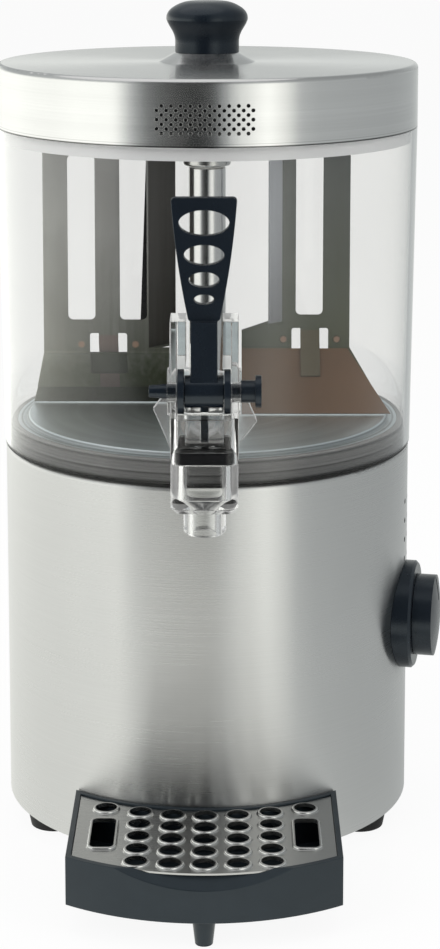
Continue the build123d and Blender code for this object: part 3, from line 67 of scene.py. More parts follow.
LOG = logging.getLogger("dispenser")
MERGE_GAP = 2e-6
FLAT_ANGLE = math.radians(0.4)
EDGE_ANGLE = math.radians(32.0)
EDGE_SEGMENTS = 2

Pair = tuple[float, float]
Colour = tuple[float, float, float]
Point = tuple[float, float, float]
Stops = list[tuple[float, Colour]]
Panels = tuple[Pair, ...]
Inputs = dict[str | int, object]
Socket = bpy.types.NodeSocket
Node = bpy.types.Node
Tree = bpy.types.NodeTree
Material = bpy.types.Material
Mesh = bpy.types.Mesh
Object = bpy.types.Object

# Colour sockets of the Mix node, by number because their names repeat
MIX_FACTOR, MIX_LOW, MIX_HIGH, MIX_RESULT = 0, 6, 7, 2
# Part of a noise's range that its lines are read from
LINE_RANGE = (0.3, 0.7)
QUARTER_TURN = 0.25
WHITE = (1.0, 1.0, 1.0)

NODES = frame["nodes"]
SLOT_OF = {name: node.data.materials[0].name for name, node in NODES.items()}
BODY_OF = {name: node["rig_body"] for name, node in NODES.items()}


class Grain(Enum):
    """Which way the lines of a metal's finish run."""

    ROUND = "round the body axis"
    ACROSS = "along X"
    UPRIGHT = "along Z"


def rgba(colour: object) -> object:
    """Returns a colour with an alpha of one, and leaves a socket as it is."""
    return (*colour, 1.0) if isinstance(colour, tuple) and len(colour) == 3 else colour


def shaded(colour: Colour, factor: float) -> Colour:
    """Returns a colour made lighter or darker by a factor, held at one."""
    return tuple(min(1.0, part * factor) for part in colour)


def grey(level: float) -> Colour:
    """Returns the grey of a level."""
    return (level, level, level)


class NodeSheet:
    """A node tree with short calls that add, set and link its nodes."""

    def __init__(self, tree: Tree) -> None:
        """Keeps the tree to work on."""
        self.tree = tree

    def add(self, kind: str, inputs: Inputs | None = None, **settings: object) -> Node:
        """Adds one node.

        Args:
            kind: Blender's name of the node type.
            inputs: values, or sockets to link, by input name or index.
            settings: properties of the node.

        Returns:
            The new node.
        """
        node = self.tree.nodes.new(kind)
        for key, value in settings.items():
            setattr(node, key, value)
        self.fill(node, inputs or {})
        return node

    def fill(self, node: Node, inputs: Inputs) -> None:
        """Links or sets a node's inputs, given by name or index."""
        for key, value in inputs.items():
            self.feed(node.inputs[key], value)

    def feed(self, socket: Socket, value: object) -> None:
        """Links an input to another node's socket, or sets its own value."""
        if isinstance(value, Socket):
            self.tree.links.new(value, socket)
        else:
            socket.default_value = value

    def math(self, operation: str, first: object, second: object = 0.0) -> Socket:
        """Returns the result of one Math node."""
        return self.add("ShaderNodeMath", {0: first, 1: second}, operation=operation).outputs[0]

    def mix(self, factor: object, low: object, high: object, way: str = "MIX") -> Socket:
        """Returns a colour mixed from two by a factor."""
        inputs = {MIX_FACTOR: factor, MIX_LOW: rgba(low), MIX_HIGH: rgba(high)}
        return self.add("ShaderNodeMix", inputs, data_type="RGBA", blend_type=way).outputs[MIX_RESULT]

    def blend(self, share: object, first: Socket, second: Socket) -> Socket:
        """Returns a shader mixed from two by a share."""
        return self.add("ShaderNodeMixShader", {0: share, 1: first, 2: second}).outputs[0]

    def scaled(self, vector: object, factor: object) -> Socket:
        """Returns a vector or a colour times a factor."""
        return self.add("ShaderNodeVectorMath", {0: vector, "Scale": factor}, operation="SCALE").outputs[0]

    def remap(self, value: object, source: Pair, target: Pair = (0.0, 1.0)) -> Socket:
        """Returns a value carried from one range to another and held inside it."""
        ends = dict(zip(("From Min", "From Max", "To Min", "To Max"), (*source, *target)))
        return self.add("ShaderNodeMapRange", {"Value": value, **ends}).outputs["Result"]

    def ramp(self, factor: object, stops: Stops) -> Socket:
        """Returns the colour that a ramp of stops gives at a factor."""
        node = self.add("ShaderNodeValToRGB", {0: factor})
        elements = node.color_ramp.elements
        while len(elements) < len(stops):
            elements.new(1.0)
        for element, (place, colour) in zip(elements, stops):
            element.position = place
            element.color = rgba(colour)
        return node.outputs[0]

    def noise(self, vector: object, scale: object, detail: float = 3.0) -> Socket:
        """Returns the value of a noise texture."""
        inputs = {"Vector": vector, "Scale": scale, "Detail": detail}
        return self.add("ShaderNodeTexNoise", inputs).outputs["Fac"]

    def place(self) -> Socket:
        """Returns the Object coordinates of the shaded point."""
        return self.add("ShaderNodeTexCoord").outputs["Object"]

    def parts(self, vector: object) -> list[Socket]:
        """Returns the three parts of a vector."""
        return list(self.add("ShaderNodeSeparateXYZ", {0: vector}).outputs)

    def stretched(self, vector: object, scale: Point) -> Socket:
        """Returns a vector scaled along each axis."""
        return self.add("ShaderNodeMapping", {"Vector": vector, "Scale": scale}).outputs[0]

    def axis_distance(self, vector: object) -> Socket:
        """Returns the distance of a point from the body axis."""
        flat = self.add("ShaderNodeVectorMath", {0: vector, 1: (1.0, 1.0, 0.0)}, operation="MULTIPLY").outputs[0]
        return self.add("ShaderNodeVectorMath", {0: flat}, operation="LENGTH").outputs["Value"]

    def group(self, tree: Tree, **inputs: object) -> Node:
        """Places a node group, with its inputs given by name and spaces written as underscores."""
        node = self.add("ShaderNodeGroup", node_tree=tree)
        self.fill(node, {key.replace("_", " "): value for key, value in inputs.items()})
        return node

    def bump(self, height: object, strength: float, distance: float = 0.0004) -> Socket:
        """Returns the normal of a surface raised by a height."""
        inputs = {"Height": height, "Strength": strength, "Distance": distance}
        return self.add("ShaderNodeBump", inputs).outputs[0]


def new_group(name: str, inputs: dict[str, str], outputs: list[str]) -> tuple[NodeSheet, Node, Node]:
    """Makes an empty shader node group.

    Args:
        name: the group's name.
        inputs: the socket type of each named input.
        outputs: names of the outputs, all plain values.

    Returns:
        The group's sheet, its input node and its output node.
    """
    tree = bpy.data.node_groups.new(name, "ShaderNodeTree")
    for label, kind in inputs.items():
        tree.interface.new_socket(label, in_out="INPUT", socket_type=kind)
    for label in outputs:
        tree.interface.new_socket(label, in_out="OUTPUT", socket_type="NodeSocketFloat")
    sheet = NodeSheet(tree)
    return sheet, sheet.add("NodeGroupInput"), sheet.add("NodeGroupOutput")


class Effects:
    """Shader groups that several finishes share, each built once."""

    # share of the lines' density, and how fast they drift, for each layer of lines
    line_layers: tuple[Pair, ...] = ((1.0, 14.0), (0.31, 6.0))
    mark_range: Pair = (0.35, 0.7)
    cloud_share: float = 0.06

    def __init__(self) -> None:
        """Builds the groups."""
        self.brush_lines = self.make_brush_lines()
        self.hand_marks = self.make_hand_marks()
        self.moulded_grain = self.make_moulded_grain()

    def make_brush_lines(self) -> Tree:
        """Returns a group of fine lines that change along one coordinate and drift slowly along the others."""
        inputs = {"Vector": "NodeSocketVector", "Across": "NodeSocketFloat", "Density": "NodeSocketFloat"}
        sheet, given, result = new_group("brush_lines", inputs, ["Lines"])
        parts = sheet.parts(given.outputs["Vector"])
        across = sheet.math("MULTIPLY", given.outputs["Across"], given.outputs["Density"])
        layers = []
        for share, run in self.line_layers:
            inputs = {0: sheet.math("MULTIPLY", parts[0], run), 1: sheet.math("MULTIPLY", parts[1], run)}
            inputs[2] = sheet.math("MULTIPLY", across, share)
            layers.append(sheet.noise(sheet.add("ShaderNodeCombineXYZ", inputs).outputs[0], 1.0, detail=2.0))
        total = sheet.math("ADD", layers[0], layers[1])
        sheet.feed(result.inputs["Lines"], sheet.math("MULTIPLY", total, 0.5))
        return sheet.tree

    def make_hand_marks(self) -> Tree:
        """Returns a group of broad soft patches, as handling and wiping leave."""
        inputs = {"Vector": "NodeSocketVector", "Scale": "NodeSocketFloat"}
        sheet, given, result = new_group("hand_marks", inputs, ["Marks"])
        wired = {label: given.outputs[label] for label in inputs}
        broad = sheet.add("ShaderNodeTexNoise", {**wired, "Detail": 4.0, "Distortion": 0.6})
        sheet.feed(result.inputs["Marks"], sheet.remap(broad.outputs["Fac"], self.mark_range))
        return sheet.tree

    def make_moulded_grain(self) -> Tree:
        """Returns a group of the fine pebbled skin of moulded plastic and rubber."""
        inputs = {"Vector": "NodeSocketVector", "Scale": "NodeSocketFloat"}
        sheet, given, result = new_group("moulded_grain", inputs, ["Height", "Shade"])
        pebble = sheet.add("ShaderNodeTexVoronoi", feature="SMOOTH_F1")
        cloud = sheet.add("ShaderNodeTexNoise", {"Detail": 3.0})
        for texture, share in ((pebble, 1.0), (cloud, self.cloud_share)):
            scale = sheet.math("MULTIPLY", given.outputs["Scale"], share)
            sheet.fill(texture, {"Vector": given.outputs["Vector"], "Scale": scale})
        sheet.fill(result, {"Height": pebble.outputs["Distance"], "Shade": cloud.outputs["Fac"]})
        return sheet.tree

    def marks(self, sheet: NodeSheet, place: Socket, scale: float) -> Socket:
        """Returns the mask of the hand marks, placed in a material."""
        return sheet.group(self.hand_marks, Vector=place, Scale=scale).outputs["Marks"]


EFFECTS = Effects()


def new_material(name: str) -> tuple[Material, NodeSheet, Node]:
    """Makes a material that holds one Principled BSDF.

    Args:
        name: the material's name.

    Returns:
        The material, its node sheet and the Principled node.
    """
    material = bpy.data.materials.new(name)
    material.use_nodes = True
    return material, NodeSheet(material.node_tree), material.node_tree.nodes["Principled BSDF"]


@dataclass(frozen=True)
class BrushedMetal:
    """Metal with brushed, spun, turned or rolled lines."""

    name: str
    colour: Colour
    grain: Grain = Grain.ROUND
    density: float = 5200.0
    roughness: float = 0.27
    spread: float = 0.06
    contrast: float = 0.04
    anisotropy: float = 0.0
    bump: float = 0.02
    marks: float = 0.03
    mark_scale: float = 14.0

    def across(self, sheet: NodeSheet, place: Socket) -> Socket:
        """Returns the coordinate that the lines change along."""
        x, y, z = sheet.parts(place)
        if self.grain is Grain.ACROSS:
            return sheet.math("ADD", y, z)
        if self.grain is Grain.UPRIGHT:
            return sheet.math("ADD", x, y)
        return sheet.math("ADD", sheet.axis_distance(place), z)

    def material(self) -> Material:
        """Returns the finish as a material."""
        material, sheet, shader = new_material(self.name)
        place = sheet.place()
        across = self.across(sheet, place)
        lines = sheet.group(EFFECTS.brush_lines, Vector=place, Across=across, Density=self.density).outputs["Lines"]
        dark, light = shaded(self.colour, 1.0 - self.contrast), shaded(self.colour, 1.0 + self.contrast)
        colour = sheet.mix(sheet.remap(lines, LINE_RANGE), dark, light)
        half = self.spread / 2
        rough = sheet.remap(lines, LINE_RANGE, (self.roughness - half, self.roughness + half))
        marks = sheet.math("MULTIPLY", EFFECTS.marks(sheet, place, self.mark_scale), self.marks)
        inputs = {"Base Color": self.ringed(sheet, place, colour), "Roughness": sheet.math("ADD", rough, marks)}
        sheet.fill(shader, inputs | {"Normal": sheet.bump(lines, self.bump), "Metallic": 1.0})
        if self.anisotropy:
            tangent = sheet.add("ShaderNodeTangent", direction_type="RADIAL", axis="Z").outputs[0]
            inputs = {"Anisotropic": self.anisotropy, "Anisotropic Rotation": QUARTER_TURN, "Tangent": tangent}
            sheet.fill(shader, inputs)
        return material

    def ringed(self, sheet: NodeSheet, place: Socket, colour: Socket) -> Socket:
        """Returns the colour as it is, where a metal has no rings."""
        return colour


@dataclass(frozen=True)
class RingedMetal(BrushedMetal):
    """Metal with rings of painted shade round the body axis, set by radius or by height."""

    inner: float = 0.0
    outer: float = 1.0
    rings: tuple[Pair, ...] = ()
    upright: bool = False
    streak: float = 0.86
    streak_density: float = 110.0
    streak_range: Pair = (0.35, 0.65)

    def ringed(self, sheet: NodeSheet, place: Socket, colour: Socket) -> Socket:
        """Returns the colour darkened by the rings of painted shade, with broad curved streaks between them."""
        radius = sheet.parts(place)[2] if self.upright else sheet.axis_distance(place)
        reach = sheet.remap(radius, (self.inner, self.outer))
        painted_shades = sheet.ramp(reach, [(share, grey(shade)) for share, shade in self.rings])
        along = sheet.math("MULTIPLY", radius, self.streak_density)
        sweep = sheet.noise(sheet.add("ShaderNodeCombineXYZ", {0: along}).outputs[0], 1.0)
        streaks = sheet.remap(sweep, self.streak_range, (self.streak, 1.0))
        return sheet.scaled(sheet.mix(1.0, colour, painted_shades, "MULTIPLY"), streaks)


@dataclass(frozen=True)
class Moulded:
    """Moulded plastic or rubber with a fine skin."""

    name: str
    colour: Colour
    roughness: float = 0.4
    skin: float = 1800.0
    bump: float = 0.06
    contrast: float = 0.15
    specular: float = 0.5
    gloss_tint: Colour = WHITE
    mark_scale: float = 25.0
    rough_spread: Pair = (-0.04, 0.06)

    def material(self) -> Material:
        """Returns the finish as a material."""
        material, sheet, shader = new_material(self.name)
        place = sheet.place()
        grain = sheet.group(EFFECTS.moulded_grain, Vector=place, Scale=self.skin)
        marks = EFFECTS.marks(sheet, place, self.mark_scale)
        low, high = (self.roughness + change for change in self.rough_spread)
        sheet.fill(shader, {
            "Base Color": self.tone(sheet, place, grain.outputs["Shade"]),
            "Roughness": sheet.remap(marks, (0.0, 1.0), (low, high)),
            "Normal": sheet.bump(grain.outputs["Height"], self.bump),
            "Specular IOR Level": self.specular,
            "Specular Tint": rgba(self.gloss_tint),
        })
        return material

    def tone(self, sheet: NodeSheet, place: Socket, shade: Socket) -> Socket:
        """Returns the base colour, a little clouded."""
        return sheet.mix(shade, shaded(self.colour, 1.0 - self.contrast), shaded(self.colour, 1.0 + self.contrast))


@dataclass(frozen=True)
class BandedRubber(Moulded):
    """Moulded rubber or plastic with bands of painted shade at set heights, as in the creases between a seal's lips."""

    low: float = 0.0
    high: float = 1.0
    bands: tuple[tuple[float, Colour], ...] = ()
    wander: float = 0.012
    wander_scale: float = 60.0

    def tone(self, sheet: NodeSheet, place: Socket, shade: Socket) -> Socket:
        """Returns the base colour of the bands, with edges that wander a little."""
        noise = sheet.noise(place, self.wander_scale)
        wander = sheet.math("MULTIPLY", sheet.math("SUBTRACT", noise, 0.5), self.wander)
        height = sheet.math("ADD", sheet.remap(sheet.parts(place)[2], (self.low, self.high)), wander)
        banded = sheet.ramp(height, list(self.bands))
        return sheet.mix(sheet.math("MULTIPLY", shade, self.contrast), banded, sheet.mix(0.5, banded, self.colour))


@dataclass(frozen=True)
class ClearPlastic:
    """Clear moulded plastic that bends what is seen through it and lets scattered light straight through."""

    name: str
    colour: Colour
    roughness: float = 0.02
    haze: float = 0.03
    index: float = 1.49
    shadow: float = 0.92
    reflection: float = 1.0
    absorption: float = 0.0
    pale: Colour = (0.92, 0.92, 0.91)
    pale_edges: float = 0.0
    edge_power: float = 2.5
    frost: float = 0.0
    frost_ends: Pair = (-0.1272, -0.1262)
    mark_scale: float = 18.0
    mark_shade: float = 0.985

    def material(self) -> Material:
        """Returns the finish as a material."""
        material, sheet, shader = new_material(self.name)
        place = sheet.place()
        marks = EFFECTS.marks(sheet, place, self.mark_scale)
        sheet.fill(shader, {
            "Base Color": sheet.mix(marks, self.colour, shaded(self.colour, self.mark_shade)),
            "Roughness": sheet.remap(marks, (0.0, 1.0), (self.roughness, self.roughness + self.haze)),
            "Transmission Weight": 1.0,
            "IOR": self.index,
            "Specular Tint": rgba(grey(self.reflection)),
        })
        surface = shader.outputs[0]
        # Painted highlight: a pale diffuse skin is mixed in at grazing angles, which whitens the edges.
        if self.pale_edges:
            pale = sheet.add("ShaderNodeBsdfDiffuse", {"Color": rgba(self.pale)}).outputs[0]
            facing = sheet.add("ShaderNodeLayerWeight", {"Blend": 0.5}).outputs["Facing"]
            edge = sheet.math("MULTIPLY", sheet.math("POWER", facing, self.edge_power), self.pale_edges)
            frost = sheet.remap(sheet.parts(place)[1], self.frost_ends, (0.0, self.frost))
            surface = sheet.blend(sheet.math("ADD", edge, frost), surface, pale)
        lit = sheet.add("ShaderNodeBsdfTransparent", {"Color": rgba(grey(self.shadow))}).outputs[0]
        rays = sheet.add("ShaderNodeLightPath").outputs
        reflected = sheet.math("SUBTRACT", rays["Is Glossy Ray"], rays["Is Transmission Ray"])
        scattered = sheet.math("MAXIMUM", rays["Is Diffuse Ray"], rays["Is Shadow Ray"])
        ends = {"Surface": sheet.blend(sheet.math("MAXIMUM", scattered, reflected), surface, lit)}
        if self.absorption:
            inputs = {"Color": rgba(grey(0.0)), "Density": self.absorption}
            ends["Volume"] = sheet.add("ShaderNodeVolumeAbsorption", inputs).outputs[0]
        sheet.fill(material.node_tree.nodes["Material Output"], ends)
        return material


@dataclass(frozen=True)
class StainShadedSheet:
    """Sheet steel of the stirrer, stained by the drink and darker lower down and nearer to the shaft, partly from
    staining and partly from painted shade.
    """

    name: str
    outer_top: Colour
    outer_low: Colour
    inner_top: Colour
    inner_low: Colour
    near: float = 0.030
    far: float = 0.095
    low: float = 0.262
    high: float = 0.390
    roughness: float = 0.42
    metallic: float = 0.3
    specular: float = 0.06
    bend: float = 0.278
    bend_half: float = 0.0015
    # painted light that lifts the plough below the bend
    plough_painted_light: float = 1.0
    streak_scale: Point = (320.0, 320.0, 14.0)
    wander: float = 0.3
    rough_spread: Pair = (-0.05, 0.07)
    bump: float = 0.03
    bump_depth: float = 0.0005
    mark_scale: float = 32.0
    mark_share: float = 0.2
    mark_shade: float = 0.7

    def material(self) -> Material:
        """Returns the finish as a material."""
        material, sheet, shader = new_material(self.name)
        place = sheet.place()
        streaks = sheet.noise(sheet.stretched(place, self.streak_scale), 1.0, detail=4.0)
        x, _, z = sheet.parts(place)
        # Partly drink staining and partly painted shade: the colours darken lower down and nearer to the shaft.
        wander = sheet.math("MULTIPLY", sheet.math("SUBTRACT", streaks, 0.5), self.wander)
        height = sheet.math("ADD", sheet.remap(z, (self.low, self.high)), wander)
        inwards = sheet.remap(sheet.math("ABSOLUTE", x), (self.far, self.near))
        outer = sheet.mix(height, self.outer_low, self.outer_top)
        inner = sheet.mix(height, self.inner_low, self.inner_top)
        marks = sheet.math("MULTIPLY", EFFECTS.marks(sheet, place, self.mark_scale), self.mark_share)
        stain_and_shade = sheet.mix(marks, sheet.mix(inwards, outer, inner), shaded(self.inner_low, self.mark_shade))
        # Painted light: below the bend the plough is made lighter by a gain, to offset the shade that its slope takes.
        fold = (self.bend + self.bend_half, self.bend - self.bend_half)
        stain_and_shade = sheet.scaled(stain_and_shade, sheet.remap(z, fold, (1.0, self.plough_painted_light)))
        low, high = (self.roughness + change for change in self.rough_spread)
        sheet.fill(shader, {
            "Base Color": self.details(sheet, stain_and_shade, (x, z, height)),
            "Roughness": sheet.remap(streaks, LINE_RANGE, (low, high)),
            "Normal": sheet.bump(streaks, self.bump, self.bump_depth),
            "Metallic": self.metallic,
            "Specular IOR Level": self.specular,
        })
        return material

    def details(self, sheet: NodeSheet, stain_and_shade: Socket, place: tuple[Socket, ...]) -> Socket:
        """Returns the colour as it is, partly staining and partly painted shade, where a sheet has no places of their
        own colour.
        """
        return stain_and_shade


@dataclass(frozen=True)
class StainShadedWing(StainShadedSheet):
    """Stained and shaded sheet of a wing, with its folded inner bar in painted light, its tongue in its own colour and
    a lighter spot on each dimple.
    """

    fold_top: Colour = grey(0.1)
    fold_low: Colour = grey(0.1)
    fold_edge: float = 0.0
    fold_foot: float = 0.281
    tongue: Colour = grey(0.1)
    tongue_mid: float = 0.0
    tongue_half: float = 0.0058
    tongue_top: float = 0.2885
    # colour of the dimples' spots: partly staining and partly a painted highlight
    dimple: Colour = (0.30, 0.20, 0.14)
    dimple_reach: float = 0.016
    dimple_height: float = 0.283
    dimple_radius: float = 0.0024
    dimple_core: float = 0.6

    def details(self, sheet: NodeSheet, stain_and_shade: Socket, place: tuple[Socket, ...]) -> Socket:
        """Returns the colour with the fold's painted light, the tongue and the dimples' spots.

        Args:
            sheet: the material's node sheet.
            stain_and_shade: the colour of the plain sheet, partly staining and partly painted shade.
            place: the point's X, its Z and its share of the wing's height.

        Returns:
            The finished colour.
        """
        x, z, height = place
        # Painted light on the folded inner bar: painted shade on the left wing's dark fold, partly staining, and a
        # painted reflection on the right wing's pale bluish fold.
        folded = sheet.math("LESS_THAN", sheet.math("ABSOLUTE", x), self.fold_edge)
        folded = sheet.math("MULTIPLY", folded, sheet.math("GREATER_THAN", z, self.fold_foot))
        stain_and_shade = sheet.mix(folded, stain_and_shade, sheet.mix(height, self.fold_low, self.fold_top))
        aside = sheet.math("ABSOLUTE", sheet.math("SUBTRACT", x, self.tongue_mid))
        on_tongue = sheet.math("LESS_THAN", aside, self.tongue_half)
        on_tongue = sheet.math("MULTIPLY", on_tongue, sheet.math("LESS_THAN", z, self.tongue_top))
        stain_and_shade = sheet.mix(on_tongue, stain_and_shade, self.tongue)
        # Each dimple gets a lighter orange-brown spot, partly staining and partly a painted highlight where light
        # catches the bump.
        off_x = sheet.math("SUBTRACT", aside, self.dimple_reach)
        off_z = sheet.math("SUBTRACT", z, self.dimple_height)
        squares = [sheet.math("MULTIPLY", part, part) for part in (off_x, off_z)]
        distance = sheet.math("SQRT", sheet.math("ADD", squares[0], squares[1]))
        dimple_stain_and_glint = sheet.remap(distance, (self.dimple_radius, self.dimple_radius * self.dimple_core))
        return sheet.mix(dimple_stain_and_glint, stain_and_shade, self.dimple)


BLACK = (0.0060, 0.0095, 0.0150)
COOL_GLOSS = (0.84, 0.94, 1.0)

FINISHES = {
    "body_steel": BrushedMetal("brushed_body_steel", (0.59, 0.59, 0.586), roughness=0.28, anisotropy=1.0),
    # The lid's rings are painted shade: a dark line along the lid's lower edge, where the gap to the tank falls in
    # shadow, and a fainter darker band above it.
    "lid_steel": RingedMetal(
        "spun_lid_steel", (0.67, 0.67, 0.666), roughness=0.19, anisotropy=0.8, inner=0.4135, outer=0.4175,
        upright=True, streak=0.95, rings=((0.0, 0.15), (0.16, 0.2), (0.24, 1.0), (0.42, 1.0), (0.50, 0.8), (0.60, 1.0)),
    ),
    # The floor's rings are painted shade: they darken the step at the floor's rim between its bright edges, and its
    # outermost edge.
    "floor_steel": RingedMetal(
        "satin_floor_steel", (0.86, 0.94, 1.0), roughness=0.42, density=1800.0, inner=0.100, outer=0.114,
        rings=(
            (0.0, 0.95), (0.38, 0.95), (0.42, 1.0), (0.46, 1.0), (0.50, 0.35), (0.56, 0.6), (0.70, 0.85), (0.76, 0.4),
            (0.82, 0.9), (0.93, 1.0), (1.0, 0.5),
        ),
    ),
    "grid_steel": BrushedMetal("polished_grid_steel", (0.74, 0.74, 0.73), Grain.ACROSS, roughness=0.16),
    "sheet_steel": BrushedMetal("zinced_sheet_steel", (0.52, 0.53, 0.54), Grain.ACROSS, roughness=0.38),
    "fastener_steel": BrushedMetal("bright_fastener_steel", (0.58, 0.58, 0.58), roughness=0.25),
    "shaft_steel": BrushedMetal("turned_shaft_steel", (0.60, 0.60, 0.59), roughness=0.22),
    "heater_aluminium": BrushedMetal("cast_heater_aluminium", (0.66, 0.67, 0.68), roughness=0.42),
    "gearbox_casting": BrushedMetal("grey_gearbox_casting", (0.40, 0.41, 0.43), roughness=0.48),
    "motor_case": BrushedMetal("drawn_motor_case", (0.36, 0.37, 0.38), Grain.UPRIGHT, roughness=0.36),
    "stirrer_steel": BrushedMetal("dull_stirrer_steel", (0.34, 0.33, 0.30), Grain.ACROSS, roughness=0.36),
    "foot_rubber": Moulded("black_foot_rubber", (0.012, 0.012, 0.012), roughness=0.65, specular=0.3),
    # The seal's bands are painted shade: a near-black shadow gap at its foot beside the body's rim, dark lines in the
    # creases between its lips, and a lighter top band.
    "seal_rubber": BandedRubber(
        "grey_seal_rubber", (0.12, 0.12, 0.118), roughness=0.42, specular=0.2, contrast=0.2, low=0.2257, high=0.240,
        bands=(
            (0.0, (0.004, 0.004, 0.004)), (0.12, (0.004, 0.004, 0.004)), (0.16, (0.09, 0.09, 0.088)),
            (0.40, (0.11, 0.11, 0.108)), (0.45, (0.022, 0.022, 0.021)), (0.51, (0.14, 0.14, 0.137)),
            (0.80, (0.15, 0.15, 0.147)), (0.90, (0.05, 0.05, 0.049)), (1.0, (0.28, 0.28, 0.275)),
        ),
    ),
    "gasket_rubber": Moulded("clear_gasket_rubber", (0.45, 0.44, 0.42), roughness=0.5, specular=0.3),
    "valve_rubber": Moulded("black_valve_rubber", (0.006, 0.006, 0.007), roughness=0.42, specular=0.12),
    "bush_plastic": Moulded("white_bush_plastic", (0.72, 0.71, 0.68), roughness=0.4),
    "black_plastic": Moulded("satin_black_plastic", BLACK, roughness=0.27, specular=0.40, gloss_tint=COOL_GLOSS),
    "tray_plastic": Moulded(
        "satin_tray_plastic", (0.015, 0.0205, 0.0255), roughness=0.38, specular=0.36, gloss_tint=COOL_GLOSS,
    ),
    # Painted shadow: the ring's top band is near-black, standing in for the shade on its part hidden behind the lid's
    # skirt, seen through the lowest holes.
    "ring_plastic": BandedRubber(
        "white_ring_plastic", (0.74, 0.745, 0.745), roughness=0.4, contrast=0.3, low=0.406, high=0.421,
        bands=((0.0, (0.74, 0.745, 0.745)), (0.80, (0.74, 0.745, 0.745)), (0.90, (0.006, 0.006, 0.006))),
    ),
    "piston_plastic": ClearPlastic("frosted_piston_plastic", (0.86, 0.87, 0.88), roughness=0.16, haze=0.1),
    "terminal_plastic": Moulded("cream_terminal_plastic", (0.68, 0.64, 0.52), roughness=0.45),
    "thermostat_case": Moulded("brown_thermostat_case", (0.11, 0.05, 0.03), roughness=0.35),
    "tank_clear": ClearPlastic(
        "clear_tank_plastic", (0.915, 0.916, 0.908), roughness=0.0, haze=0.015, reflection=0.7, absorption=4.0,
    ),
    "tap_clear": ClearPlastic(
        "clear_tap_plastic", (0.965, 0.968, 0.965), roughness=0.03, haze=0.04, index=1.42, reflection=0.4,
        pale_edges=0.6, frost=0.2,
    ),
}
MATERIALS = {slot: finish.material() for slot, finish in FINISHES.items()}


def dressed(names: tuple[str, ...], material: Material | None = None) -> None:
    """Gives CAD nodes a finish: the one given, or else their slot's own."""
    for name in names:
        NODES[name].data.materials[0] = material or MATERIALS[SLOT_OF[name]]


def linked(name: str, data: bpy.types.ID) -> Object:
    """Returns a new object in the scene that holds the data."""
    thing = bpy.data.objects.new(name, data)
    bpy.context.scene.collection.objects.link(thing)
    return thing


def finished(mesh: Mesh, name: str, body: str) -> Object:
    """Puts a mesh into the scene as a piece of the object.

    Args:
        mesh: the piece's mesh, in the frame's place.
        name: the piece's name.
        body: the CAD body that it moves with.

    Returns:
        The new piece.
    """
    piece = linked(name, mesh)
    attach(piece, body)
    LOG.info("%s rides on %s: %d faces", name, body, len(mesh.polygons))
    return piece


def evaluated_mesh(draft: Object) -> Mesh:
    """Returns what a draft object's modifiers make as a plain mesh, and removes the draft."""
    seen = draft.evaluated_get(bpy.context.evaluated_depsgraph_get())
    mesh = bpy.data.meshes.new_from_object(seen)
    draft.modifiers.clear()
    bpy.data.objects.remove(draft)
    return mesh


def written(skin: bmesh.types.BMesh, mesh: Mesh) -> Mesh:
    """Returns the mesh with a working skin written into it, and frees the skin."""
    skin.to_mesh(mesh)
    skin.free()
    return mesh


def merged_copy(node: str) -> Mesh:
    """Returns a CAD node's mesh as one joined skin, its flat faces made whole and its old normals left off."""
    mesh = NODES[node].data.copy()
    old_normals = mesh.attributes.get("custom_normal")
    if old_normals:
        mesh.attributes.remove(old_normals)
    skin = bmesh.new()
    skin.from_mesh(mesh)
    bmesh.ops.remove_doubles(skin, verts=skin.verts, dist=MERGE_GAP)
    bmesh.ops.dissolve_limit(skin, angle_limit=FLAT_ANGLE, verts=skin.verts, edges=skin.edges)
    for face in skin.faces:
        face.smooth = True
    return written(skin, mesh)


def closed_strip(name: str, slot: str, rings: list[list[Point]], smooth: bool) -> Mesh:
    """Makes a closed strip whose section is carried from ring to ring.

    Args:
        name: the mesh's name.
        slot: the material slot of its finish.
        rings: the section's points at each step.
        smooth: whether its sides are shaded as one round face.

    Returns:
        The strip, with both ends closed and its faces pointing outwards.
    """
    skin = bmesh.new()
    loops = [[skin.verts.new(point) for point in ring] for ring in rings]
    for before, after in zip(loops, loops[1:]):
        for corner in range(len(before)):
            other = (corner + 1) % len(before)
            face = skin.faces.new((before[corner], before[other], after[other], after[corner]))
            face.smooth = smooth
    for end in (loops[0], loops[-1]):
        skin.faces.new(end)
    bmesh.ops.recalc_face_normals(skin, faces=skin.faces)
    mesh = written(skin, bpy.data.meshes.new(name))
    mesh.materials.append(MATERIALS[slot])
    return mesh


def eased(node: str, width: float, material: Material | None = None) -> Object:
    """Makes a copy of a CAD node with rounded edges that stands for the node.

    Args:
        node: the CAD node.
        width: how far each edge is taken back.
        material: the finish of the copy, or else the slot's own.

    Returns:
        The finished piece.
    """
    draft = linked("draft", merged_copy(node))
    bevel = draft.modifiers.new("edges", "BEVEL")
    bevel.width = width
    bevel.segments = EDGE_SEGMENTS
    bevel.limit_method = "ANGLE"
    bevel.angle_limit = EDGE_ANGLE
    bevel.use_clamp_overlap = False
    bevel.harden_normals = True
    shading = draft.modifiers.new("shading", "WEIGHTED_NORMAL")
    shading.keep_sharp = True
    mesh = evaluated_mesh(draft)
    mesh.materials.clear()
    mesh.materials.append(material or MATERIALS[SLOT_OF[node]])
    piece = finished(mesh, f"{node}_form", BODY_OF[node])
    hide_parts(node)
    return piece


